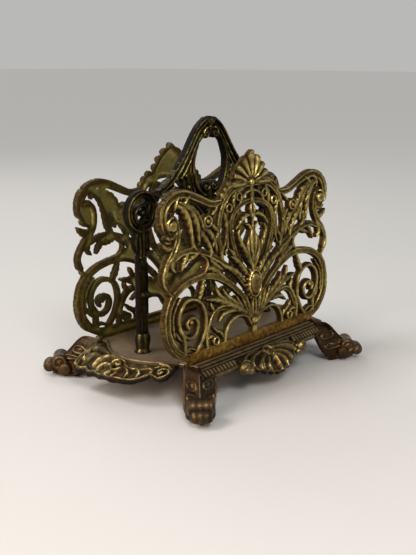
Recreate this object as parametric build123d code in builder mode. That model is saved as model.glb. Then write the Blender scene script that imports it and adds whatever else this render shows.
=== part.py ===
from build123d import *
import os
from math import cos, radians, sin, sqrt, tan

# Two-compartment book rack of cast brass.  X runs along the side panels, -Y is the front, +Z is up
# and the origin is on the table under the middle of the tray.  Millimetres throughout.

os.makedirs("parts", exist_ok=True)

# ---------------------------------------------------------------- driving dimensions
floor_top = 44.5            # top face of the tray floor above the table
floor_thick = 4.0
tray_half_width = 77.0      # straight long edge of the floor
tray_corner_x = 104.0       # where the long edge ends and the bowed end begins
bow_start_x = 109.0
bow_reach = 136.0           # furthest point of the bowed floor edge
bow_half_width = 55.0
bead_width = 2.6            # raised bead round the bowed ends
bead_height = 1.4

skirt_reach = 13.0          # how far the sloped long moulding stands out from the floor edge
skirt_drop = 13.0
skirt_half_length = 84.0
skirt_gap_half = 52.0       # the moulding stops here for the shell apron
dentil_pitch = 7.2
dentil_width = 4.0
dentils_per_run = 4

end_apron_reach = 154.0     # bottom lip of the end aprons
end_apron_half = 54.0
end_apron_bottom = 22.0
end_lip_rise = 11.0
side_apron_reach = 111.0    # bottom lip of the front and rear aprons
side_apron_half = 52.0
side_apron_bottom = 19.0
side_lip_rise = 9.0
apron_thick = 5.0
volute_y = 97.0
volute_z = 33.5
volute_radius = 7.5

panel_face_y = 72.1         # where a side panel's outer plane would meet the table
panel_lean = 2.81           # degrees, inward at the top
panel_depth = 6.0
plinth_half = 106.9         # plinth band along the bottom of a side panel
plinth_height = 12.5
plinth_proud = 1.2
shell_focus_z = 225.0
shell_ribs = 9
shell_rib_length = 27.0
rib_proud = 2.0
cabochon_z = 113.0

post_x = 106.9              # divider posts and medallions
post_width = 15.0
post_top = 180.0
post_gap = 7.5              # bottom of the post above the floor, inside its foot
divider_thick = 7.0
medallion_z = 196.6
medallion_radius = 22.5
medallion_bore = 13.0
medallion_thick = 10.0
post_foot_radius = 9.0
post_foot_height = 22.0

leg_diagonal = 27.0         # |x| - |y| along a leg's ridge
leg_root_x = 104.0
leg_flange_x = 32.0         # flange width along the long side
leg_flange_y = 23.0         # flange width along the short side
knuckle_x, knuckle_z, knuckle_radius = 134.0, 18.0, 9.5
toe_x, toe_z, toe_radius = 142.5, 12.5, 6.2

tab_thick = 4.0
screw_radius = 2.0
screw_head_radius = 3.8
screw_head_height = 2.4
screw_bite = 3.0            # how far a screw enters the floor
panel_screw_bite = 7.0      # how far a panel screw enters the plinth
bolt_radius = 2.5
bolt_head_radius = 4.8
bolt_bite = 6.0
washer_radius = 7.0
washer_thick = 1.2

floor_under = floor_top - floor_thick
tab_under = floor_under - tab_thick


def panel_y(z):
    """Distance of a side panel's outer plane from the centre plane at height z."""
    return panel_face_y - tan(radians(panel_lean)) * z


panel_mid_y = panel_y(floor_top) - panel_depth / 2
panel_screws_at = [(x, side * panel_mid_y) for x in (-80.0, 0.0, 80.0) for side in (1, -1)]
divider_screws_at = [(post_x, 0), (-post_x, 0)]
leg_screws_at = [(sx * x, sy * 66.0) for sx in (1, -1) for sy in (1, -1) for x in (90.0, 100.0)]
end_screws_at = [(sx * 118.0, sy * 18.0) for sx in (1, -1) for sy in (1, -1)]
side_screws_at = [(sx * 30.0, sy * 60.0) for sx in (1, -1) for sy in (1, -1)]


def bow(reach, half_width, corner, inset=0.0):
    """Points of a bowed edge on the +X side, from -half_width to +half_width."""
    steps = [-1, -0.5, 0, 0.5, 1]
    return [(reach - inset - (reach - corner) * t * t, t * (half_width - inset / 2)) for t in steps]


def swell(reach, half_width, corner):
    """Points of a swelling edge on the +Y side, from +half_width to -half_width."""
    return [(-y, x) for x, y in bow(reach, half_width, corner)]


def tray_outline(inset=0.0):
    """Floor outline: straight long edges, a short step and a bowed edge at each end."""
    edge = bow(bow_reach, bow_half_width, bow_start_x, inset)
    y = tray_half_width - inset
    x = tray_corner_x - inset
    with BuildLine() as outline:
        Polyline((0, -y), (x, -y), edge[0])
        Spline(*edge)
        Polyline(edge[-1], (x, y), (0, y))
        mirror(about=Plane.YZ)
    return outline.line


# ---------------------------------------------------------------- tray
skirt_profile = [
    (tray_half_width - 3, floor_top),
    (tray_half_width, floor_top),
    (tray_half_width + 0.5, floor_top - 2.5),
    (tray_half_width + skirt_reach - 1, floor_top - skirt_drop + 2),
    (tray_half_width + skirt_reach, floor_top - skirt_drop),
    (tray_half_width + skirt_reach - 3.5, floor_top - skirt_drop),
    (tray_half_width, floor_under),
    (tray_half_width - 3, floor_under),
]
skirt_run = skirt_half_length - skirt_gap_half
skirt_mid = (skirt_half_length + skirt_gap_half) / 2

with BuildPart() as base_plate:
    with BuildSketch(Plane.XY.offset(floor_under)):
        with BuildLine():
            add(tray_outline())
        make_face()
    extrude(amount=floor_thick)
    # raised bead that follows the bowed ends only
    with BuildSketch(Plane.XY.offset(floor_top)):
        with BuildLine():
            add(tray_outline())
        make_face()
        with BuildLine():
            add(tray_outline(bead_width))
        make_face(mode=Mode.SUBTRACT)
        Rectangle(2 * bow_start_x, 4 * tray_half_width, mode=Mode.SUBTRACT)
    extrude(amount=bead_height)
    # sloped mouldings with dentils, two runs on each long side
    for side in (1, -1):
        for start in (skirt_gap_half, -skirt_half_length):
            with BuildSketch(Plane.YZ.offset(start)):
                with BuildLine():
                    Polyline(*[(side * y, z) for y, z in skirt_profile], close=True)
                make_face()
            extrude(amount=skirt_run)
        for middle in (skirt_mid, -skirt_mid):
            for index in range(dentils_per_run):
                x = middle + (index - (dentils_per_run - 1) / 2) * dentil_pitch
                with Locations(Location((x, side * (tray_half_width + 8), floor_top - 7.6), (-side * 40, 0, 0))):
                    Box(dentil_width, 4.4, 2.8)
    # screw holes
    with Locations(*[(x, y, floor_under) for x, y in panel_screws_at]):
        Cylinder(screw_radius, 3 * floor_thick, mode=Mode.SUBTRACT)
    with Locations(*[(x, y, floor_under) for x, y in divider_screws_at]):
        Cylinder(bolt_radius, 3 * floor_thick, mode=Mode.SUBTRACT)
    with Locations(*[(x, y, floor_under) for x, y in leg_screws_at + end_screws_at + side_screws_at]):
        Cylinder(screw_radius, 2 * screw_bite, mode=Mode.SUBTRACT)
base_plate.part.label = "base_plate"
export_step(base_plate.part, "parts/base_plate.step")


# ---------------------------------------------------------------- aprons under the tray
def strip(outer, inward):
    """Outline of a curved strip: the outer spline and the same spline moved inward."""
    inner = [(x + inward[0], y + inward[1]) for x, y in reversed(outer)]
    with BuildLine() as outline:
        Spline(*outer)
        Line(outer[-1], inner[0])
        Spline(*inner)
        Line(inner[-1], outer[0])
    return outline.line


def lobed_edge(half_length, bottom, rise, lobes):
    """Line of downward lobes that climbs by rise from the middle to both ends, and closes below."""
    span = [1.02 * half_length * (2 * i / lobes - 1) for i in range(lobes + 1)]
    height = [bottom + rise * (t / half_length) ** 2 + 1.8 for t in span]
    with BuildLine() as edge:
        for i in range(lobes):
            middle = ((span[i] + span[i + 1]) / 2, (height[i] + height[i + 1]) / 2 - 2.2)
            ThreePointArc((span[i], height[i]), middle, (span[i + 1], height[i + 1]))
        Polyline((span[-1], height[-1]), (span[-1], 0), (span[0], 0), (span[0], height[0]))
    return edge.line


# section height, reach in the middle, reach at the ends
end_sections = [
    (end_apron_bottom, end_apron_reach, 117.0),
    (floor_under - 6, 145.0, 113.0),
    (floor_under, 135.0, 108.5),
]
with BuildPart() as apron_right:
    for height, middle, end in end_sections:
        with BuildSketch(Plane.XY.offset(height)):
            with BuildLine():
                add(strip(bow(middle, end_apron_half, end), (-apron_thick, 0)))
            make_face()
    loft()
    with BuildSketch(Plane.YZ.offset(90)):
        with BuildLine():
            add(lobed_edge(end_apron_half, end_apron_bottom, end_lip_rise, 9))
        make_face()
    extrude(amount=80, mode=Mode.SUBTRACT)
    with Locations(*[(x + 3, y, floor_under - tab_thick / 2) for x, y in end_screws_at if x > 0]):
        Box(28, 12, tab_thick)
    with Locations(*[(x, y, floor_under) for x, y in end_screws_at if x > 0]):
        Cylinder(screw_radius, 4 * tab_thick, mode=Mode.SUBTRACT)
apron_right.part.label = "apron_right"
export_step(apron_right.part, "parts/apron_right.step")

with BuildPart() as apron_left:
    mirror(apron_right.part, about=Plane.YZ)
apron_left.part.label = "apron_left"
export_step(apron_left.part, "parts/apron_left.step")

side_sections = [
    (side_apron_bottom, side_apron_reach, 98.0),
    (27.0, 108.5, 96.0),
    (34.0, 100.0, 91.0),
    (floor_under, 83.0, 81.0),
]
with BuildPart() as apron_rear:
    for height, middle, end in side_sections:
        with BuildSketch(Plane.XY.offset(height)):
            with BuildLine():
                add(strip(swell(middle, side_apron_half, end), (0, -apron_thick)))
            make_face()
    loft()
    with BuildSketch(Plane.XZ.offset(-120)):
        with BuildLine():
            add(lobed_edge(side_apron_half, side_apron_bottom, side_lip_rise, 9))
        make_face()
    extrude(amount=60, mode=Mode.SUBTRACT)
    with BuildSketch(Plane.XZ.offset(-volute_y + 7)):
        with Locations((-side_apron_half + 1, volute_z), (side_apron_half - 1, volute_z)):
            Circle(volute_radius)
    extrude(amount=-14)
    with Locations(*[(x, y + 7, floor_under - tab_thick / 2) for x, y in side_screws_at if y > 0]):
        Box(12, 30, tab_thick)
    with Locations(*[(x, y, floor_under) for x, y in side_screws_at if y > 0]):
        Cylinder(screw_radius, 4 * tab_thick, mode=Mode.SUBTRACT)
    add(base_plate.part, mode=Mode.SUBTRACT)
apron_rear.part.label = "apron_rear"
export_step(apron_rear.part, "parts/apron_rear.step")

with BuildPart() as apron_front:
    mirror(apron_rear.part, about=Plane.XZ)
apron_front.part.label = "apron_front"
export_step(apron_front.part, "parts/apron_front.step")


# ---------------------------------------------------------------- legs
# outer and inner line of a leg's face: distance out from the root, height
leg_outer = [(9, 44.5), (15, 38), (20, 25), (24, 13), (29, 5), (33, 1.5)]
leg_inner = [(24, 0), (18, 12), (14, 24), (9.5, 35), (5, 39.5)]


def leg_profile(root):
    """Face section of a leg: flat at the shoulder, down in an ogee, and out to the toe."""
    with BuildLine() as outline:
        Line((root, floor_top), (root + leg_outer[0][0], floor_top))
        Spline(*[(root + r, z) for r, z in leg_outer], tangents=[(1, 0), (1, -1)])
        Polyline((root + 33, 1.5), (root + 33, 0), (root + 24, 0))
        Spline(*[(root + r, z) for r, z in leg_inner])
        Polyline((root + 5, 39.5), (root, 39.5), (root, floor_top))
    return outline.line


ridge = Plane(origin=(leg_diagonal, 0, 0), z_dir=(1, -1, 0))
leg_root_y = leg_root_x - leg_diagonal

with BuildPart() as end_flange:
    with BuildSketch(Plane.XZ.offset(-30)):
        with BuildLine():
            add(leg_profile(leg_root_x))
        make_face()
    extrude(amount=-110)
    split(bisect_by=ridge, keep=Keep.TOP)
    split(bisect_by=Plane(origin=(leg_diagonal + leg_flange_y, 0, 0), z_dir=(1, -1, 0)), keep=Keep.BOTTOM)

with BuildPart() as long_flange:
    with BuildSketch(Plane.YZ.offset(skirt_half_length)):
        with BuildLine():
            add(leg_profile(leg_root_y))
        make_face()
    extrude(amount=80)
    split(bisect_by=ridge, keep=Keep.BOTTOM)
    split(bisect_by=Plane(origin=(leg_diagonal - leg_flange_x, 0, 0), z_dir=(1, -1, 0)), keep=Keep.TOP)

# plane through the ridge: local x runs outward along the diagonal, local y is height
radial = Plane(origin=(leg_root_x, leg_root_y, 0), x_dir=(1, 1, 0), z_dir=(1, -1, 0))
knuckle_r = (knuckle_x - leg_root_x) * sqrt(2)
toe_r = (toe_x - leg_root_x) * sqrt(2)

with BuildPart() as leg_rear_right:
    add(end_flange.part)
    add(long_flange.part)
    with BuildSketch(radial):
        with BuildLine():
            Polyline(
                (26, 24),
                (knuckle_r - 4, knuckle_z + knuckle_radius - 1),
                (knuckle_r + 6, knuckle_z + 6),
                (toe_r, toe_z + 4),
                (toe_r, toe_z - 4),
                (knuckle_r + 3, 3),
                (knuckle_r - 5, 0),
                (32, 0),
                close=True,
            )
        make_face()
    extrude(amount=8, both=True)
    with BuildSketch(radial):
        with Locations((knuckle_r, knuckle_z)):
            Circle(knuckle_radius)
    extrude(amount=11, both=True)
    with Locations((toe_x, toe_x - leg_diagonal, toe_z)):
        Sphere(toe_radius)
    # tab under the floor
    with Locations((95.5, 69, floor_under - tab_thick / 2)):
        Box(21, 24, tab_thick)
    with Locations(*[(x, y, floor_under) for x, y in leg_screws_at if x > 0 and y > 0]):
        Cylinder(screw_radius, 4 * tab_thick, mode=Mode.SUBTRACT)
    add(base_plate.part, mode=Mode.SUBTRACT)
leg_rear_right.part.label = "leg_rear_right"
export_step(leg_rear_right.part, "parts/leg_rear_right.step")

with BuildPart() as leg_rear_left:
    mirror(leg_rear_right.part, about=Plane.YZ)
leg_rear_left.part.label = "leg_rear_left"
export_step(leg_rear_left.part, "parts/leg_rear_left.step")

with BuildPart() as leg_front_right:
    mirror(leg_rear_right.part, about=Plane.XZ)
leg_front_right.part.label = "leg_front_right"
export_step(leg_front_right.part, "parts/leg_front_right.step")

with BuildPart() as leg_front_left:
    mirror(leg_front_right.part, about=Plane.YZ)
leg_front_left.part.label = "leg_front_left"
export_step(leg_front_left.part, "parts/leg_front_left.step")


# ---------------------------------------------------------------- pierced side panels
panel_plane = Plane(
    origin=(0, -panel_face_y, 0),
    x_dir=(1, 0, 0),
    z_dir=(0, -cos(radians(panel_lean)), sin(radians(panel_lean))),
)
# right half of the edge, from the plinth up to the shell
bulge = [(plinth_half, 48), (118, 54), (130, 61.5), (139.5, 75), (143.5, 96), (141, 113), (134.5, 127.5)]
hip = [(134.5, 127.5), (142, 134), (144, 143), (138, 156), (133, 164)]
spur = [(133, 164), (140, 168), (142.5, 175), (134, 183.5)]
ear = [(134, 183.5), (142.5, 192), (144, 203), (136, 216), (112, 226), (88, 222), (66, 212), (52.5, 209.5)]
shoulder = [(52.5, 209.5), (49.5, 219), (42.5, 221.5), (39.5, 226.5), (31, 228)]
shell_steps = [(31, 228), (31.5, 235.5), (23, 241.5), (20.5, 248), (11.5, 251), (0, 257)]

# openings in the right half, each a closed smooth loop
loops = [
    [(90, 215), (80, 210), (67, 204.5), (56.5, 201), (59, 194), (67, 197), (76, 191), (83, 196), (90, 206)],
    [(122, 202), (113, 197), (108, 184), (99, 176), (103, 168.5), (117, 167), (115, 185), (117, 196)],
    [(70, 162.5), (77, 166), (84, 166), (78, 161.5)],
    [(130, 147), (121, 136.5), (100, 141), (79, 141.5), (75.5, 147), (92, 151.5), (108, 147.5), (124, 154)],
    [(90, 129), (104, 127.5), (116, 120), (122, 111), (110, 118.5), (98, 118.5)],
    [(88, 84), (88, 97), (97, 107.5), (109, 108.5), (118, 99), (105, 101), (94, 95), (93, 81), (98, 72)],
    [(131, 87), (123, 83), (119, 76), (121, 71), (127, 76)],
    [(88, 111), (79, 119), (68, 121), (67, 112.5), (74, 109), (67, 100.5), (78, 90), (80.5, 101)],
    [(58, 120), (46, 114.5), (33, 102.5), (42, 103), (49, 111.5)],
    [(66, 62), (69, 70), (66, 80), (59, 87), (51, 90), (55, 81), (57, 73)],
    [(10, 58), (28, 57.5), (48, 58), (49, 66), (41, 76), (28, 79.5), (15, 76.5), (7, 66)],
    [(57, 187), (60, 178), (59, 170), (56.5, 178)],
    [(46, 171), (47, 163), (43, 154), (39, 154), (42, 164)],
    [(5, 189.5), (9, 196), (15, 195), (19.5, 190)],
    [(11, 150), (18, 160), (18.5, 167), (12.5, 160)],
    [(14, 216), (17.5, 213), (16.5, 206.5), (13, 208)],
    [(24, 202.5), (32, 204), (32, 199.5), (27, 198.5)],
]
round_holes = [(108.0, 88.0, 4.8), (84.0, 62.0, 3.6), (81.0, 180.0, 2.8), (38.5, 145.0, 2.4)]

rib_outline = [(6, -0.6), (shell_rib_length, -2.9), (shell_rib_length, 2.9), (6, 0.6)]


def panel_edge():
    """Whole outer edge of a side panel, in the panel's own plane."""
    with BuildLine() as edge:
        Polyline((0, 40), (plinth_half, 40), bulge[0])
        for run in (bulge, hip, spur, ear):
            Spline(*run)
        for run in (shoulder, shell_steps):
            for start, end in zip(run[:-1], run[1:]):
                RadiusArc(start, end, -0.75 * (Vector(*start) - Vector(*end)).length)
        mirror(about=Plane.YZ)
    return edge.line


with BuildPart() as panel_front:
    with BuildSketch(panel_plane):
        with BuildLine():
            add(panel_edge())
        make_face()
        for points in loops:
            for side in (1, -1):
                with BuildLine():
                    Spline(*[(side * x, z) for x, z in points], periodic=True)
                make_face(mode=Mode.SUBTRACT)
        for x, z, radius in round_holes:
            with Locations((x, z), (-x, z)):
                Circle(radius, mode=Mode.SUBTRACT)
    extrude(amount=-panel_depth)
    # plinth band
    with BuildSketch(panel_plane):
        with Locations((0, 40)):
            Rectangle(2 * plinth_half, floor_top + plinth_height - 40, align=(Align.CENTER, Align.MIN))
    extrude(amount=plinth_proud)
    # scallop ribs spread from the focus of the shell
    with BuildSketch(panel_plane):
        for index in range(shell_ribs):
            angle = 90 + (index - (shell_ribs - 1) / 2) * 18
            with Locations(Location((0, shell_focus_z, 0), (0, 0, angle))):
                Polygon(*rib_outline, align=None)
    extrude(amount=rib_proud, taper=20)
    # cabochon in its oval rim
    with BuildSketch(panel_plane):
        with Locations((0, cabochon_z)):
            Ellipse(10, 16)
    extrude(amount=3)
    with BuildSketch(panel_plane.offset(3)):
        with Locations((0, cabochon_z)):
            Ellipse(7, 12)
    extrude(amount=4, taper=30)
    # the foot of the casting is cut level with the floor
    with BuildSketch(Plane.XY.offset(floor_top)):
        Rectangle(400, 400)
    extrude(amount=-30, mode=Mode.SUBTRACT)
    with Locations(*[(x, y, floor_top) for x, y in panel_screws_at if y < 0]):
        Cylinder(screw_radius, 2 * panel_screw_bite, mode=Mode.SUBTRACT)
panel_front.part.label = "panel_front"
export_step(panel_front.part, "parts/panel_front.step")

with BuildPart() as panel_rear:
    mirror(panel_front.part, about=Plane.XZ)
panel_rear.part.label = "panel_rear"
export_step(panel_rear.part, "parts/panel_rear.step")


# ---------------------------------------------------------------- divider with handle
handle_outer = [(0, 290), (11, 287.5), (24, 277), (42, 252), (62, 230), (77, 219), (90, 213)]
frame_under = [(88, 204), (75, 208), (60, 205), (38, 197), (20, 188), (9, 176), (0, 172)]
grip_hole = [(0, 203.5), (16, 211), (24, 226), (25.5, 243), (19, 261), (9, 269)]

with BuildPart() as divider:
    with BuildSketch(Plane.XZ):
        with BuildLine():
            Spline(*handle_outer)
            Line(handle_outer[-1], frame_under[0])
            Spline(*frame_under)
            mirror(about=Plane.YZ)
        make_face()
        with BuildLine():
            Spline(*grip_hole)
            Line(grip_hole[-1], (-9, 269))
            Spline(*[(-x, z) for x, z in grip_hole])
        make_face(mode=Mode.SUBTRACT)
        with Locations((6.5, 272), (-6.5, 272), (6.5, 213), (-6.5, 213)):
            Circle(6.2)
        with Locations((0, 207)):
            Rectangle(14, 12)
        with Locations((48, 222), (-48, 222)):
            Circle(2.6, mode=Mode.SUBTRACT)
        for side in (1, -1):
            with Locations((side * post_x, floor_top + post_gap)):
                Rectangle(post_width, post_top - floor_top - post_gap, align=(Align.CENTER, Align.MIN))
            with Locations((side * post_x, medallion_z)):
                Circle(medallion_radius - 1)
                Circle(medallion_bore, mode=Mode.SUBTRACT)
                Rectangle(2 * medallion_bore + 2, 4, rotation=side * 45)
                Circle(4.5)
    extrude(amount=divider_thick / 2, both=True)
    # double ring rim of the medallions
    with BuildSketch(Plane.XZ):
        with Locations((post_x, medallion_z), (-post_x, medallion_z)):
            Circle(medallion_radius)
            Circle(medallion_radius - 4, mode=Mode.SUBTRACT)
    extrude(amount=medallion_thick / 2, both=True)
    # small boss half way down each post
    with BuildSketch(Plane.XZ):
        with Locations((post_x, 108), (-post_x, 108)):
            Ellipse(5, 3)
    extrude(amount=divider_thick / 2 + 1.5, both=True)
    with Locations((post_x, 0, floor_top + post_gap), (-post_x, 0, floor_top + post_gap)):
        Cylinder(bolt_radius, 2 * (bolt_bite + 2), mode=Mode.SUBTRACT)
divider.part.label = "divider"
export_step(divider.part, "parts/divider.step")

with BuildPart() as post_foot_right:
    with BuildSketch(Plane.XZ):
        with BuildLine():
            Polyline(
                (0, floor_top),
                (post_foot_radius, floor_top),
                (post_foot_radius, floor_top + 3),
                (post_foot_radius - 0.8, floor_top + 4.5),
                (post_foot_radius - 0.8, floor_top + post_foot_height - 3),
                (post_foot_radius - 2, floor_top + post_foot_height),
                (0, floor_top + post_foot_height),
                close=True,
            )
        make_face()
    revolve(axis=Axis.Z)
    with Locations((0, 0, floor_top + post_gap)):
        Box(post_width, divider_thick, 40, align=(Align.CENTER, Align.CENTER, Align.MIN), mode=Mode.SUBTRACT)
        Cylinder(bolt_radius, 60, mode=Mode.SUBTRACT)
    post_foot_right.part.position = (post_x, 0, 0)
post_foot_right.part.label = "post_foot_right"
export_step(post_foot_right.part, "parts/post_foot_right.step")

with BuildPart() as post_foot_left:
    mirror(post_foot_right.part, about=Plane.YZ)
post_foot_left.part.label = "post_foot_left"
export_step(post_foot_left.part, "parts/post_foot_left.step")


# ---------------------------------------------------------------- fasteners under the tray
def pan_screw(tip, under_head, head_radius, shank_radius, head_height):
    """Half section of a pan-head screw, head down, for revolving about Z."""
    with BuildLine() as outline:
        Polyline((0, tip), (shank_radius, tip), (shank_radius, under_head), (head_radius, under_head))
        ThreePointArc(
            (head_radius, under_head),
            (head_radius * 0.72, under_head - head_height * 0.8),
            (0, under_head - head_height),
        )
        Line((0, under_head - head_height), (0, tip))
    return outline.line


def cut_slot(head_radius, under_head, head_height):
    """Screwdriver slot across the head."""
    with Locations((0, 0, under_head - head_height)):
        Box(3 * head_radius, 0.9, 1.8, mode=Mode.SUBTRACT)


panel_screw_tip = floor_top + panel_screw_bite
with BuildPart() as panel_screw:
    with BuildSketch(Plane.XZ):
        with BuildLine():
            add(pan_screw(panel_screw_tip, floor_under, screw_head_radius, screw_radius, screw_head_height))
        make_face()
    revolve(axis=Axis.Z)
    cut_slot(screw_head_radius, floor_under, screw_head_height)

tab_screw_tip = floor_under + screw_bite
with BuildPart() as tab_screw:
    with BuildSketch(Plane.XZ):
        with BuildLine():
            add(pan_screw(tab_screw_tip, tab_under, screw_head_radius, screw_radius, screw_head_height))
        make_face()
    revolve(axis=Axis.Z)
    cut_slot(screw_head_radius, tab_under, screw_head_height)

bolt_seat = floor_under - washer_thick
with BuildPart() as bolt:
    with BuildSketch(Plane.XZ):
        with BuildLine():
            add(pan_screw(floor_top + post_gap + bolt_bite, bolt_seat, bolt_head_radius, bolt_radius, 3.2))
        make_face()
    revolve(axis=Axis.Z)
    cut_slot(bolt_head_radius, bolt_seat, 3.2)

with BuildPart() as panel_screws:
    with Locations(*[(x, y, 0) for x, y in panel_screws_at]):
        add(panel_screw.part)
panel_screws.part.label = "panel_screws"
export_step(panel_screws.part, "parts/panel_screws.step")

with BuildPart() as leg_screws:
    with Locations(*[(x, y, 0) for x, y in leg_screws_at]):
        add(tab_screw.part)
leg_screws.part.label = "leg_screws"
export_step(leg_screws.part, "parts/leg_screws.step")

with BuildPart() as apron_screws:
    with Locations(*[(x, y, 0) for x, y in end_screws_at + side_screws_at]):
        add(tab_screw.part)
apron_screws.part.label = "apron_screws"
export_step(apron_screws.part, "parts/apron_screws.step")

with BuildPart() as divider_screws:
    with Locations(*[(x, y, 0) for x, y in divider_screws_at]):
        add(bolt.part)
divider_screws.part.label = "divider_screws"
export_step(divider_screws.part, "parts/divider_screws.step")

with BuildPart() as divider_washers:
    with BuildSketch(Plane.XY.offset(bolt_seat)):
        with Locations(*divider_screws_at):
            Circle(washer_radius)
            Circle(bolt_radius, mode=Mode.SUBTRACT)
    extrude(amount=washer_thick)
divider_washers.part.label = "divider_washers"
export_step(divider_washers.part, "parts/divider_washers.step")
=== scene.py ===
from math import cos, pi, radians, sin

import bpy
import numpy as np
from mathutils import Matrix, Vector


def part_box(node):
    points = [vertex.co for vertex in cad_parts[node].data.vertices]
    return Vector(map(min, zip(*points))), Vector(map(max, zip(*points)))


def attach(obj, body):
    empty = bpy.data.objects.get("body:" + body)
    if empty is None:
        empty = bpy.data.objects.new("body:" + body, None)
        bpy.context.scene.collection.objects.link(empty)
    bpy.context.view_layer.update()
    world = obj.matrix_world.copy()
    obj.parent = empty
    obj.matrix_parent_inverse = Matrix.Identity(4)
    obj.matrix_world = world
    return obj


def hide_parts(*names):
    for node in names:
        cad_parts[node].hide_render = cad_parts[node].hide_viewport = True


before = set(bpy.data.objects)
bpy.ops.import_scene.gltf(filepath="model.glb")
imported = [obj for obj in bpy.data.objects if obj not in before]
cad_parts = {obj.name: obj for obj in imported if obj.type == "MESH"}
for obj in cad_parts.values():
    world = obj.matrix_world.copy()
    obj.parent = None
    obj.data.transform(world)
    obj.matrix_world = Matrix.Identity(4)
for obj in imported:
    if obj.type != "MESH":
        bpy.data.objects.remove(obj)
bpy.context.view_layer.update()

# Everything is drawn in millimetres, and becomes metres in the meshes.
MM = 0.001


def corners(node):
    """Lowest and highest corner of a CAD node in millimetres, to a hundredth."""
    return [[round(n / MM, 2) for n in corner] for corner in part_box(node)]


FLOOR_Z = corners("panel_front")[0][2]          # top of the tray, which the panels stand on
TOP_Z = corners("divider")[1][2]                # top of the handle
BOW_X, MOULDED_Y = corners("base_plate")[1][:2]  # where the tray's bowed ends and moulded sides reach
POST_X = corners("post_foot_right")[1][0] - 9   # the divider's posts stand in sockets of 9 mm radius
CORNER_X, CORNER_Y = 104, 77                    # corner of the tray's floor, over a leg


# ---- lines and distances
def smooth_line(points, gap=0.7, closed=False):
    """Points along a Catmull-Rom curve through the given ones, about gap apart."""
    p = np.array(points, float)
    p = np.vstack([p[-1], p, p[0], p[1]] if closed else [2 * p[0] - p[1], p, 2 * p[-1] - p[-2]])
    line = []
    for a, b, c, d in zip(p[:-3], p[1:-2], p[2:-1], p[3:]):
        count = max(2, int(np.hypot(*(c - b)) / gap))
        t = (np.arange(count) / count)[:, None]
        line.append(0.5 * (2 * b + (c - a) * t + (2 * a - 5 * b + 4 * c - d) * t**2
                           + (3 * b - a - 3 * c + d) * t**3))
    return np.vstack(line + [p[-2][None, :]])


def nearest(line, x, z):
    """For each point: signed distance to the line, and how far along it that is, as a length and a part."""
    best = np.full(x.shape, 1e9)
    side = np.zeros(x.shape)
    run = np.zeros(x.shape)
    lengths = np.hypot(*(line[1:] - line[:-1]).T)
    done = 0.0
    for (ax, az), (bx, bz), size in zip(line[:-1], line[1:], lengths):
        if size < 1e-6:
            continue
        dx, dz = (bx - ax) / size, (bz - az) / size
        t = np.clip((x - ax) * dx + (z - az) * dz, 0, size)
        ex, ez = x - ax - t * dx, z - az - t * dz
        d = ex * ex + ez * ez
        better = d < best
        best = np.where(better, d, best)
        side = np.where(better, np.sign(dx * ez - dz * ex), side)
        run = np.where(better, done + t, run)
        done += size
    return np.sqrt(best) * np.where(side == 0, 1, side), run, run / done


def inside_loop(line, x, z):
    """Distance inside a closed line, negative outside."""
    ring = np.vstack([line, line[:1]])
    away = np.abs(nearest(ring, x, z)[0])
    within = np.zeros(x.shape, bool)
    for (ax, az), (bx, bz) in zip(ring[:-1], ring[1:]):
        if az != bz:
            within ^= ((az > z) != (bz > z)) & (x < (bx - ax) * (z - az) / (bz - az) + ax)
    return np.where(within, away, -away)


def step_up(a, b, x):
    """0 below a, 1 above b, smooth between."""
    t = np.clip((x - a) / (b - a), 0, 1)
    return t * t * (3 - 2 * t)


def bump(x, middle, reach):
    """1 at the middle, falling to nothing either side."""
    return np.exp(-((x - middle) / reach) ** 2)


# ---- sections across a stroke: s runs from -1 to 1 across it, run and part along it
def round_top(s, run, part):
    return 1 - np.abs(s) ** 2.4


def rimmed(s, run, part):
    """Two raised rims with a hollow between them."""
    a = np.abs(s)
    return (1 - a**6) * (0.5 + 0.5 * bump(a, 0.68, 0.2))


def hollow(s, run, part):
    """One high rim on the left of the stroke, sinking to a small one on the right."""
    return (1 - s**6) * (0.35 + 0.65 * bump(s, 0.55, 0.28) + 0.3 * bump(s, -0.72, 0.16))


def reeded(s, run, part):
    """Rounded reeds side by side."""
    return (1 - np.abs(s) ** 5) * (0.72 - 0.28 * np.cos(3 * pi * s))


def milled(s, run, part):
    """Rimmed, with a row of small cross cuts in the hollow."""
    tick = 0.5 + 0.5 * np.cos(2 * pi * run / 3.0)
    return rimmed(s, run, part) + 0.3 * tick * bump(s, 0, 0.34)


def leafy(ribs):
    """A swelling leaf with soft veins that slant out to the lobes of its edge."""
    def section(s, run, part):
        a = np.abs(s)
        vein = np.cos(2 * pi * (ribs * part - 0.8 * a))
        return (1 - a**1.8) * (0.94 + 0.16 * vein * a)
    return section


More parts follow.
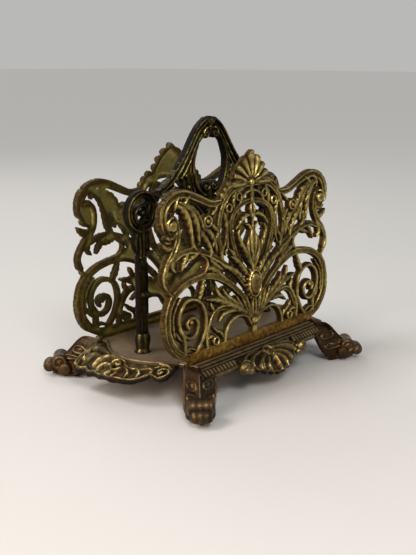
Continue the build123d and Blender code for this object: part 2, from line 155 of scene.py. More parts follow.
# ---- a casting drawn as strokes on a grid
class Relief:
    """How far each grid point is inside the metal, and how proud the face is there.

    A stroke is metal only where it is solid, or where the whole relief is drawn solid."""

    def __init__(self, low, high, step, solid=False):
        self.x = np.arange(low[0], high[0] + step / 2, step)
        self.z = np.arange(low[1], high[1] + step / 2, step)
        self.X, self.Z = np.meshgrid(self.x, self.z, indexing="ij")
        self.inside = np.full(self.X.shape, -20.0)
        self.height = np.zeros(self.X.shape)
        self.solid = solid

    def near(self, line, reach):
        """The part of the grid within reach of a line."""
        low, high = line.min(axis=0) - reach, line.max(axis=0) + reach
        i = np.searchsorted(self.x, [low[0], high[0]])
        j = np.searchsorted(self.z, [low[1], high[1]])
        return slice(i[0], i[1] + 1), slice(j[0], j[1] + 1)

    def add(self, where, height, inside, solid=False):
        """Takes the higher of what is there and a new height, where the new shape is."""
        old = self.height[where]
        self.height[where] = np.where(inside > 0, np.maximum(old, height), old)
        if solid or self.solid:
            self.inside[where] = np.maximum(self.inside[where], inside)

    def stroke(self, points, width, high, section=round_top, lobes=0, solid=False, curved=True):
        """A raised band along a curve.  width and high are one number, or several spread along it."""
        line = smooth_line(points) if curved else np.array(points, float)
        widths, highs = np.atleast_1d(width), np.atleast_1d(high)
        where = self.near(line, widths.max() * 0.75 + 1)
        side, run, part = nearest(line, self.X[where], self.Z[where])
        half = np.interp(part, np.linspace(0, 1, len(widths)), widths) / 2
        if lobes:
            half = half * (0.76 + 0.34 * np.abs(np.sin(pi * lobes * part)) ** 0.7)
        s = np.clip(side / np.maximum(half, 0.05), -1, 1)
        rise = np.interp(part, np.linspace(0, 1, len(highs)), highs)
        self.add(where, rise * section(s, run, part), half - np.abs(side), solid)

    def leaf(self, points, width, high, ribs=5, solid=False):
        """An acanthus leaf from its root to its tip."""
        swell = np.array([0.55, 0.9, 1.0, 0.92, 0.7, 0.3]) * width
        self.stroke(points, swell, [high * 0.8, high, high, high * 0.8], leafy(ribs), ribs, solid)

    def ball(self, x, z, radius, high, base=0.0, solid=False):
        where = self.near(np.array([[x, z]], float), radius + 1)
        d = np.hypot(self.X[where] - x, self.Z[where] - z)
        dome = base + high * np.sqrt(np.clip(1 - (d / radius) ** 2, 0, 1))
        self.add(where, dome, radius - d, solid)

    def ring(self, x, z, radius, width, high, solid=False):
        turn = np.linspace(0, 2 * pi, 60)
        line = np.column_stack([x + radius * np.cos(turn), z + radius * np.sin(turn)])
        self.stroke(line, width, high, solid=solid, curved=False)

    def volute(self, x, z, start, radius, turns, width, high, solid=False):
        """A spiral from its open end in to the eye.  start is in degrees, and positive turns go left."""
        part = np.linspace(0, 1, 60)
        turn = radians(start) + 2 * pi * turns * part
        r = radius * (1 - part) ** 0.8 + 0.12 * radius
        line = np.column_stack([x + r * np.cos(turn), z + r * np.sin(turn)])
        self.stroke(line, [width, width * 0.45], high, solid=solid, curved=False)

    def fill(self, line):
        """Metal inside a closed line."""
        where = self.near(line, 2)
        d = inside_loop(line, self.X[where], self.Z[where])
        self.inside[where] = np.maximum(self.inside[where], d)

    def cut(self, line):
        """An opening inside a closed line."""
        where = self.near(line, 8)
        d = inside_loop(line, self.X[where], self.Z[where])
        self.inside[where] = np.minimum(self.inside[where], -d)

    def round_edges(self, radius, high, floor=-0.4):
        """Keeps the face below a rounded shoulder along every edge."""
        d = np.clip(self.inside / radius, 0, 1)
        limit = floor + (high - floor) * (1 - (1 - d) ** 2) ** 0.8
        self.height = np.minimum(self.height, limit)

    def uneven(self, depth):
        """The slight unevenness of a sand casting."""
        rng = np.random.default_rng(7)
        grain = blurred(rng.standard_normal(self.X.shape), 2)
        self.height = self.height + depth * grain / grain.std()

    def mirrored(self):
        """The whole of a relief drawn as its right half."""
        whole = Relief((-self.x[-1], self.z[0]), (self.x[-1], self.z[-1]), self.x[1] - self.x[0])
        whole.inside = np.vstack([self.inside[:0:-1], self.inside])
        whole.height = np.vstack([self.height[:0:-1], self.height])
        return whole


def blurred(a, reach):
    """A box blur, run twice."""
    for _ in range(2):
        for axis in (0, 1):
            pad = [(0, 0), (0, 0)]
            pad[axis] = (reach + 1, reach)
            total = np.cumsum(np.pad(a, pad, mode="edge"), axis=axis)
            at = np.arange(a.shape[axis])
            a = (np.take(total, at + 2 * reach + 1, axis) - np.take(total, at, axis)) / (2 * reach + 1)
    return a


def worn_on(relief, height):
    """Above 0.5 on crests, below it in hollows and down at the edges."""
    metal = (relief.inside > 0).astype(float)
    mean = blurred(height * metal, 3) / np.maximum(blurred(metal, 3), 0.02)
    shade = np.clip(0.5 + 0.2 * (height - mean), 0, 1)
    return shade - 0.16 * (1 - step_up(0, 1.0, relief.inside))


def broad_parts(relief):
    """1 in the middle of wide areas of metal, 0 along edges and in narrow strokes."""
    return step_up(0.8, 1.0, blurred((relief.inside > 0).astype(float), 5))


# ---- meshes
def new_object(name, data):
    piece = bpy.data.objects.new(name, data)
    bpy.context.scene.collection.objects.link(piece)
    return piece


def mesh_of(name, verts, faces, worn, smooth=True):
    """A mesh of points in millimetres, with how worn each of them is for the finishes to read."""
    mesh = bpy.data.meshes.new(name)
    mesh.from_pydata((verts * MM).tolist(), [], faces)
    mesh.update()
    mesh.attributes.new("worn", "FLOAT", "POINT").data.foreach_set("value", np.array(worn, np.float32))
    mesh.polygons.foreach_set("use_smooth", [smooth] * len(mesh.polygons))
    return mesh


def cast(name, relief, place, front, back, two_faced=False):
    """A closed mesh of a relief.  place gives the point of (x, z, height), and front and back are heights."""
    inside, full = relief.inside, relief.inside > 0
    worn_back = worn_on(relief, -back) if two_faced else 0.24 + 0.52 * broad_parts(relief)
    grids = (relief.X, relief.Z, front, back, worn_on(relief, front), worn_back)
    points = [np.column_stack([grid[full] for grid in grids])]
    v = np.full(inside.shape, -1)
    v[full] = np.arange(full.sum())
    count = int(full.sum())
    # a vertex on every grid edge that leaves the metal, set in a little from the face and the back
    inset, on_edges = 0.25, []
    for a, b in ((np.s_[:-1, :], np.s_[1:, :]), (np.s_[:, :-1], np.s_[:, 1:])):
        cross = full[a] != full[b]
        t = np.clip(inside[a] / np.where(cross, inside[a] - inside[b], 1), 0.06, 0.94)[cross]
        x, z = (grid[a][cross] * (1 - t) + grid[b][cross] * t for grid in grids[:2])
        f, k, worn_f, worn_k = (np.where(full[a][cross], grid[a][cross],
                                         grid[b][cross]) for grid in grids[2:])
        points.append(np.column_stack([x, z, f - inset, k + inset, worn_f, worn_k]))
        index = np.full(cross.shape, -1)
        index[cross] = count + np.arange(cross.sum())
        count += int(cross.sum())
        on_edges.append(index)
    points = np.vstack(points)
    across, up = on_edges
    # whole squares of the grid, then the cut ones along the outline and a wall along each cut
    whole = full[:-1, :-1] & full[1:, :-1] & full[1:, 1:] & full[:-1, 1:]
    quads = np.column_stack([v[:-1, :-1][whole], v[1:, :-1][whole], v[1:, 1:][whole], v[:-1, 1:][whole]])
    some = (full[:-1, :-1] | full[1:, :-1] | full[1:, 1:] | full[:-1, 1:]) & ~whole
    faces, walls = quads.tolist(), []
    for i, j in zip(*np.nonzero(some)):
        walk = (v[i, j], across[i, j], v[i + 1, j], up[i + 1, j], v[i + 1, j + 1], across[i, j + 1],
                v[i, j + 1], up[i, j])
        kept = [(step, int(w)) for step, w in enumerate(walk) if w >= 0]
        if len(kept) < 3:
            continue
        faces.append([w for _, w in kept])
        walls += [(wa, wb) for (sa, wa), (sb, wb) in zip(kept, kept[1:] + kept[:1]) if sa % 2 and sb % 2]
    n = len(points)
    verts = np.vstack([place(points[:, 0], points[:, 1], points[:, column]) for column in (2, 3)])
    faces += [[w + n for w in reversed(face)] for face in faces]
    faces += [[wb, wa, wa + n, wb + n] for wa, wb in walls]
    a, b, _, d = quads[len(quads) // 2]
    if np.dot(np.cross(verts[b] - verts[a], verts[d] - verts[a]), verts[a] - verts[a + n]) < 0:
        faces = [face[::-1] for face in faces]
    mesh = mesh_of(name, verts, faces, np.concatenate([points[:, 4], points[:, 5]]))
    behind = np.repeat([0.0, 0.0 if two_faced else 1.0], n).astype(np.float32)
    mesh.attributes.new("behind", "FLOAT", "POINT").data.foreach_set("value", behind)
    # crisp corners where the side walls meet the front and the back
    ends = np.zeros(2 * len(mesh.edges), int)
    mesh.edges.foreach_get("vertices", ends)
    ends = np.sort(ends.reshape(-1, 2), axis=1)
    corner = np.sort(np.array(walls), axis=1)
    corner = np.vstack([corner, corner + n])
    crisp = np.isin(ends[:, 0] * 4 * n + ends[:, 1], corner[:, 0] * 4 * n + corner[:, 1])
    mesh.attributes.new("sharp_edge", "BOOLEAN", "EDGE").data.foreach_set("value", crisp)
    return new_object(name, mesh)


def on_surface(base, out):
    """Place function for a relief laid on a curved surface.  out is roughly the way it faces."""
    def place(u, v, h):
        e = 0.05
        n = np.cross(base(u + e, v) - base(u - e, v), base(u, v + e) - base(u, v - e))
        n /= np.maximum(np.linalg.norm(n, axis=1), 1e-9)[:, None]
        if np.dot(n.mean(axis=0), out) < 0:
            n = -n
        return base(u, v) + n * h[:, None]
    return place


def skin(name, rings, worn, flip=False, smooth=True):
    """A closed mesh over rings of points, capped at both ends."""
    n = len(rings[0])
    last = (len(rings) - 1) * n
    faces = [(i + k, i + (k + 1) % n, i + n + (k + 1) % n, i + n + k) for i in range(0, last, n)
             for k in range(n)]
    faces += [tuple(range(n))[::-1], tuple(range(last, last + n))]
    if flip:
        faces = [face[::-1] for face in faces]
    return new_object(name, mesh_of(name, np.vstack(rings), faces, np.ravel(worn), smooth))


def turned(name, profile, centre, axis, around, worn, flutes=0, depth=0.0):
    """A shape turned about an axis through centre.  profile is (radius, distance along) from end to end."""
    axis = np.array(axis, float) / np.linalg.norm(axis)
    side = np.cross(axis, (0.3, 0.2, 0.9))
    side /= np.linalg.norm(side)
    up = np.cross(axis, side)
    line = smooth_line(profile, 0.9)
    turn = 2 * pi * np.arange(around)[:, None] / around
    ripple = depth * (0.5 + 0.5 * np.cos(flutes * turn))
    rings, tones = [], []
    for radius, along in line:
        r = np.maximum(radius - ripple * min(1, radius / 3), 0.02)
        rings.append(np.array(centre) + axis * along + side * r * np.cos(turn) + up * r * np.sin(turn))
        tones.append(worn + (0.25 - 0.5 * ripple / depth if flutes else np.full(around, 0.1 * sin(along))))
    return skin(name, rings, tones, flip=line[-1][1] < line[0][1])


def both_ways(half):
    """A profile drawn from its end to its middle, and back out to the other end."""
    return half + [(radius, -along) for radius, along in half[::-1] if along]


def rod(name, line, radius, around, worn):
    """A round rod along a level line of points."""
    rings = []
    turn = 2 * pi * np.arange(around)[:, None] / around
    for i, p in enumerate(line):
        t = line[min(i + 1, len(line) - 1)] - line[max(i - 1, 0)]
        a = np.cross(t / np.linalg.norm(t), (0, 0, 1))
        a /= np.linalg.norm(a)
        b = np.cross(t / np.linalg.norm(t), a)
        rings.append(p + radius * (a * np.cos(turn) + b * np.sin(turn)))
    return skin(name, rings, [worn] * len(line) * around)


def bar(name, profile, side, start, end, worn):
    """A straight moulding: a closed (y, z) profile drawn out along x, on the +y side or the -y side."""
    profile = [(side * y, z) for y, z in profile]
    area = sum(a[0] * b[1] - b[0] * a[1] for a, b in zip(profile, profile[1:] + profile[:1]))
    rings = [[(x, y, z) for y, z in profile] for x in (start, end)]
    return skin(name, rings, worn * 2, flip=area < 0, smooth=False)


def join(name, pieces):
    """One object of several, in world place."""
    if len(pieces) > 1:
        with bpy.context.temp_override(active_object=pieces[0], object=pieces[0],
                                       selected_editable_objects=pieces, selected_objects=pieces):
            bpy.ops.object.join()
    pieces[0].name = name
    pieces[0].data.name = name
    return pieces[0]


# ---- side panels
LEAN = radians(2.81)
PANEL_Y = 72.1        # the outer plane of a panel, where it would meet the ground
WEB = -2.6            # face of the thin web behind the strokes, from the panel's outer plane
PANEL_BACK = -6
PLINTH_LOW, PLINTH_TOP, PLINTH_END = FLOOR_Z - 0.1, 57, 107
CREST_Z = 257
STONE_Z = 112         # middle of the oval stone

# right-hand outline of a panel, from its foot round to the top
bulge = [(106.9, 48), (118, 54), (130, 61.5), (139.5, 75), (143.5, 96), (141, 113), (134.5, 127.5)]
hip = [(134.5, 127.5), (142, 134), (144, 143), (138, 156), (133, 164)]
spur = [(133, 164), (140, 168), (142.5, 175), (134, 183.5)]
ear = [(134, 183.5), (142.5, 192), (144, 203), (136, 216), (112, 226), (88, 222), (66, 212), (52.5, 209.5)]
shoulder = [(52.5, 209.5), (49.5, 219), (42.5, 221.5), (39.5, 226.5), (31, 228)]
steps = [(31, 228), (31.5, 235.5), (23, 241.5), (20.5, 248), (11.5, 251), (0, CREST_Z)]


def arc_between(a, b, rise):
    """Points of a lobe bulging to the right of the way from a to b."""
    a, b = np.array(a, float), np.array(b, float)
    way = b - a
    off = np.array([way[1], -way[0]])
    t = np.linspace(0, 1, 9)[:-1, None]
    return a + way * t + off * rise * 4 * t * (1 - t)


def panel_outline():
    low = PLINTH_LOW - 0.8
    runs = [[(0, low), (POST_X, low)]] + [smooth_line(run) for run in (bulge, hip, spur, ear)]
    for run in (shoulder, steps):
        runs += [arc_between(a, b, 0.27) for a, b in zip(run[:-1], run[1:])]
    return np.vstack(runs + [[(0, CREST_Z), (-6, CREST_Z), (-6, low)]])


def draw_panel():
    """Right half of a side panel.  Every stroke is metal, and what no stroke covers is open."""
    r = Relief((0, 43), (146, 259), 0.8, solid=True)
    band, leaf = r.stroke, r.leaf
    # the big scroll: up from the plinth, round the corner and down into the knot at the middle
    band([(100, 51.5), (116, 56.5), (129, 67), (137, 81), (138.6, 96), (136, 109), (128, 120.5), (116.5, 128),
          (103, 132), (86, 134), (69, 132), (50, 124.5), (32, 112.5), (17, 99), (8, 86), (3, 72)],
         [9, 10, 10, 9, 8.5, 8, 8, 7.5, 7, 5], [4, 4.6, 4.4, 4.2, 4, 3.6], milled)
    band([(108, 50), (123, 56), (135.5, 68), (141.5, 82), (142.4, 97), (139, 111), (131.5, 123)], 2.8, 4.6)
    band([(129.5, 80), (131, 94), (128, 106), (119, 118)], 2.4, 4)
    # hip and the long curve up to the ear
    band([(130, 122.5), (136.5, 128), (141, 135), (142, 144), (138.5, 151.5), (131, 158), (124, 164)],
         [5, 4.6, 4.4], 4.4)
    band([(127, 203), (120.5, 196), (118.5, 186), (120, 175), (126, 165.5), (133, 157.5), (139, 149),
          (140.5, 141), (136, 131.5)], [5, 6.5, 7.5, 7.5, 6, 4], [4.4, 5, 4.6], rimmed)
    leaf([(124, 170), (131, 170), (137, 172), (141.5, 177)], 8.5, 4.6, 3)
    leaf([(121, 180), (129, 180), (137, 180.5)], 7.5, 4, 3)
    leaf([(124, 162), (128, 156), (128, 150), (123, 145)], 7, 4.6, 3)
    # upper stroke with its hanging leaves and its curled inner end
    band([(125, 158.5), (112, 163), (97, 163), (80, 158.5), (63, 150.5), (46, 140), (29, 127), (16, 114),
          (7, 103)], [6, 7.5, 8, 8, 7, 6, 5], [4.2, 4.8, 4.6, 4.2, 3.4], hollow)
    band([(84, 156), (77, 151), (76, 144), (81, 138), (90, 136)], [4, 4.5, 4], 4)
    leaf([(104, 162), (109, 156), (113, 150), (115, 145)], 7.5, 4.8, 4)
    leaf([(86, 161), (96, 157), (105, 153.5)], 7.5, 4.4, 4)
    leaf([(78, 142), (66, 139), (54, 131), (42, 121)], 9.5, 4.4, 5)
    leaf([(70, 150), (62, 143), (50, 135)], 7, 4, 4)
    # rail, ear and its volute
    band([(47, 209.5), (57, 206.5), (68, 207), (82, 212.5), (97, 218.5), (112, 221.5), (126, 218.5),
          (135.5, 210.5), (139, 199), (136.5, 188), (129, 182), (122, 185.5)],
         [6, 7, 7.5, 8.5, 9, 9, 9, 8, 6], [4, 4.8, 5.4, 5.6, 5.4, 5], rimmed)
    band([(53, 209), (67, 210), (84, 217), (100, 223.5), (115, 225.5), (130, 221.5), (140.5, 211), (143, 199),
          (140, 187), (132, 178.5)], 2.2, 4.8)
    r.ball(128.6, 192.5, 8.4, 1, 1.6)
    r.volute(128.6, 192.5, 100, 7.4, -0.8, 4.4, 6.4)
    r.ball(127.8, 192, 6.2, 7.4, 1.6)
    # ear leaf, its lobes hanging in a fan
    leaf([(122, 213), (110, 206), (102.5, 192), (99, 170)], 11.5, 7, 6)
    leaf([(114, 214), (99, 204), (90.5, 190), (88, 171)], 11.5, 6.2, 6)
    leaf([(107, 213), (94, 204), (85, 193), (79, 181)], 9.5, 5.6, 5)
    leaf([(116, 220), (121, 214), (123, 206)], 5.5, 6.4, 2)
    leaf([(100, 219), (107, 214), (110, 207)], 5.5, 6.4, 2)
    # knot in the middle of each side and the leaves round it
    r.ring(74, 190, 5.4, 3.6, 5)
    r.ball(74, 190, 3.6, 5.6)
    leaf([(95, 194), (86, 182), (77, 172), (70, 161), (70, 153)], 10, 5.2, 6)
    leaf([(80, 184), (70, 178), (63, 168), (60, 157)], 9, 4.6, 5)
    leaf([(96, 180), (97, 170), (90, 162)], 8, 4.6, 4)
    leaf([(67, 195), (61, 200), (55, 206)], 4.5, 4.4, 2)
    leaf([(66, 186), (60, 180), (55, 174)], 7, 4.2, 3)
    # lower volute: two branches of a lyre, the spiral between them and the leaf that ties it to the scroll
    band([(93, 111.5), (107, 114), (117, 108.5), (122.5, 98), (121, 86), (115, 74), (114, 58)],
         [5, 6.6, 6.6, 6, 7], [4.4, 5.2, 4.8, 4])
    band([(95, 112), (86.5, 105), (82, 93), (82.3, 80), (88, 68), (96, 57)], [5, 6.6, 6.6, 6.6, 7],
         [4.4, 5.2, 4.8, 4])
    band([(119, 84), (113, 76.5), (105, 74), (97, 78), (94.5, 86.5), (99, 93.5), (107, 94.5), (111.5, 90),
          (109.5, 84.5)], [5.5, 6.2, 6.2, 5.6, 4.4], [4.4, 5.2, 5.8])
    r.ball(106, 90.8, 3.6, 5.8, 1)
    leaf([(92, 109), (87.5, 117), (84, 126), (83, 132)], 8, 5.2, 4)
    band([(115, 62), (107, 63), (99, 60)], 4, 3.6)
    leaf([(126, 84), (122, 77), (117, 72)], 5, 3.8, 3)
    # leaves and hooks between the volute and the middle
    band([(16, 81), (38, 91.5), (57, 95), (69, 90), (75.5, 80), (79.5, 69), (78, 57)], [4, 6, 7, 7, 6.5, 6],
         [3.6, 4.8, 4.6, 4.2], hollow)
    leaf([(4, 74), (22, 86), (42, 97), (60, 104.5), (78, 108.5)], 12.5, 5, 8)
    leaf([(40, 97), (52, 105), (60, 112), (64, 120)], 8, 4.6, 4)
    leaf([(24, 92), (38, 101), (48, 109), (52, 115)], 7.5, 4.6, 4)
    leaf([(66, 93), (71, 99), (72, 104)], 6, 4.2, 3)
    r.ring(66, 61.5, 4.2, 3, 4.4)
    leaf([(80, 66), (73, 68), (67, 66)], 6, 4.2, 3)
    leaf([(51, 60), (57, 68), (64, 72), (70, 78)], 6, 4, 4)
    band([(5, 66), (13, 76.5), (28, 80.5), (40, 77.5), (48.5, 68.5), (51.5, 56)], 5.4, [3.8, 4.6, 4])
    leaf([(24, 85), (38, 88.5), (52, 87), (60, 81)], 7.5, 4.6, 5)
    # arches under the shell
    band([(0, 221.5), (20, 221), (33, 217), (44.5, 208), (52, 195.5), (56.2, 181), (56.5, 168), (52, 155)],
         [7, 6.5, 6, 5.5, 5], [4.8, 5, 4.4], rimmed)
    band([(0, 203), (11, 202.5), (23.5, 198), (33, 190), (36.6, 177), (34.5, 164), (29, 150), (22, 136)],
         [6, 5.5, 5.5, 5], [4.6, 4.8, 4], rimmed)
    leaf([(50, 200), (44.5, 190), (43, 178), (45, 166), (50, 156)], 6.5, 4, 6)
    leaf([(38, 186), (42, 172), (42, 160), (46, 150)], 5.5, 3.8, 5)
    r.ring(39, 199.5, 4.2, 2.8, 4.4)
    r.ring(22, 209.5, 4, 2.8, 4.4)
    band([(0, 214), (8, 213), (15, 209), (20, 203)], [4, 4.5, 4], 4.2)
    leaf([(25, 217), (29, 210), (31, 203), (30, 197)], 7, 4.2, 4)
    band([(0, 222), (0, 212), (0, 203)], [8, 5, 7], 5.2, reeded)
    band([(56, 176), (62, 170), (66, 163)], 5, 4)
    # plume: reeded trunk, a bow of drooping leaves and side leaves that curl outwards
    band([(0, 96), (0, 120), (0, 140), (0, 154)], [12, 12, 10, 7], [4.6, 5.2, 5.2, 4.6], reeded)
    band([(0, 150), (0, 170), (0, 188)], [4, 3.6, 4.4], [4.6, 5])
    leaf([(1.5, 130), (7, 141), (9.5, 153), (7, 165)], 8, 5.8, 2)
    leaf([(0.5, 142), (3.5, 152), (4, 163), (1.5, 175)], 7, 6.2, 2)
    leaf([(2, 171), (7, 177), (12, 178)], 5, 5.2, 2)
    leaf([(1, 187), (10, 188), (20, 183), (28, 175)], 7.5, 5.2, 5)
    leaf([(1, 200), (3, 194), (2, 187)], 6, 5, 3)
    r.ball(0, 187, 4.6, 6)
    leaf([(5, 134), (12, 148), (19, 158), (24, 168), (22, 175)], 9, 5.2, 6)
    leaf([(9, 122), (19, 134), (29, 143), (37, 147)], 9.5, 5, 5)
    leaf([(27, 138), (33, 150), (40, 156)], 7, 4.2, 4)
    leaf([(14, 116), (26, 127), (38, 135), (50, 140), (56, 146)], 9.5, 4.8, 6)
    leaf([(50, 146), (52, 154), (48, 162)], 7, 4.2, 3)
    # stems that spring from the knot up beside the cabochon
    for root, tip, wide in (((1.5, 72), (2, 100), 5), ((3, 72), (13, 101), 5.5), ((5, 73), (22, 104), 6),
                            ((6, 73), (30, 103), 6)):
        bend = ((root[0] + tip[0]) / 2 + 1, (root[1] + tip[1]) / 2 - 1)
        leaf([root, bend, tip], wide, 4.6, 6)
    r.ball(0, 70, 6, 6.4)
    band([(0, 67), (0, 60), (0, 54)], [8, 9.5, 13], [4.6, 4.2, 4], reeded)
    # the oval stone in its setting, with short rays round it
    for turn in range(-80, 261, 20):
        x, z = cos(radians(turn)), sin(radians(turn))
        band([(9 * x, STONE_Z + 13 * z), (12.5 * x, STONE_Z + 18.5 * z)], [4.8, 3.6], 4.4)
    oval = np.linspace(-pi / 2, pi / 2, 40)
    band(np.column_stack([10 * np.cos(oval), STONE_Z + 14.6 * np.sin(oval)]), 3.4, 6.8, curved=False)
    stone = np.clip(1 - (r.X / 8.2) ** 2 - ((r.Z - STONE_Z) / 12.8) ** 2, -1, 1)
    r.height = np.maximum(r.height, np.where(stone > 0, 3.5 + 5.8 * np.sqrt(np.clip(stone, 0, 1)), 0))
    r.inside = np.maximum(r.inside, 8 * stone)
    # shell crest: deep ribs round a hub, each ending in a rounded lobe of a rim that comes to a point
    hub = 222
    reach = np.hypot(r.X / 1.16, r.Z - hub)
    turn = np.arctan2(r.X / 1.16, r.Z - hub)
    wave = np.abs(np.cos(8 * turn))
    fan = 1 / np.maximum(np.abs(np.sin(turn)) / 30 + np.cos(turn) / 35.5, 0.01)
    rim = 0.5 * (29 + 6 * np.cos(turn) ** 2) + 0.5 * fan + 2 * (wave**0.7 - 0.8)
    shell = np.minimum(rim - reach, r.Z - 219.5)
    r.inside = np.maximum(r.inside, shell)
    crest = 1.2 + 4.6 * wave**1.2 * step_up(2, 12, reach) - 1.4 * step_up(0.78, 1, reach / rim)
    r.height = np.maximum(r.height, np.where(shell > 0, crest, 0))
    r.ball(0, 223, 4.6, 6)
    leaf([(5, 223), (17, 225.5), (28, 224.5), (40, 219), (48, 211)], 6.5, 5, 8)
    for x, z, size in ((37, 223.5, 5), (43, 218.5, 4.6), (48, 213, 4.2)):
        r.ball(x, z, size, 4)
    r.inside = np.minimum(r.inside, r.Z - PLINTH_LOW)
    r.round_edges(2.2, 7)
    # plinth band with a groove near its top and another near its foot
    plinth = np.minimum(np.minimum(r.Z - PLINTH_LOW, PLINTH_TOP - r.Z), PLINTH_END - r.X)
    plain = (3.8 - 0.9 * bump(r.Z, 54.8, 0.7) - 0.5 * bump(r.Z, 46.2, 0.6)) * step_up(0, 0.9, plinth)
    fading = r.height * step_up(PLINTH_TOP - 3, PLINTH_TOP, r.Z)
    r.inside = np.maximum(r.inside, plinth)
    r.height = np.where(plinth > 0, np.maximum(plain, fading), r.height)
    # nothing passes the outline, except that the crest is free of it
    outline = panel_outline()
    where = r.near(outline, 3)
    room = inside_loop(outline, r.X[where], r.Z[where]) + 0.8 + 20 * step_up(218, 224, r.Z[where])
    r.inside[where] = np.minimum(r.inside[where], room)
    return r.mirrored()


def panel_place(sign):
    """Place function of the +Y or -Y panel: it leans inwards, and the tip of its crest curls out."""
    def place(x, z, h):
        out = h + 0.0035 * np.clip(z - 232, 0, None) ** 2
        y = PANEL_Y - z * sin(LEAN) + out * cos(LEAN)
        return np.column_stack([x, sign * y, z * cos(LEAN) + out * sin(LEAN)])
    return place


panel_drawing = draw_panel()
panel_drawing.uneven(0.16)
panel_face = WEB + panel_drawing.height
# the back is flat along the plinth, and hollow behind the broad parts above it
hollowed = 0.5 * (1 - step_up(0, 1.2, panel_drawing.inside)) + 2.6 * broad_parts(panel_drawing)
panel_back = np.where(panel_drawing.Z < PLINTH_TOP + 0.5, PANEL_BACK,
                      np.minimum(PANEL_BACK + hollowed, panel_face - 1.1))
panel_front, panel_rear = [cast(name, panel_drawing, panel_place(sign), panel_face, panel_back)
                           for name, sign in (("panel_front_casting", -1), ("panel_rear_casting", 1))]


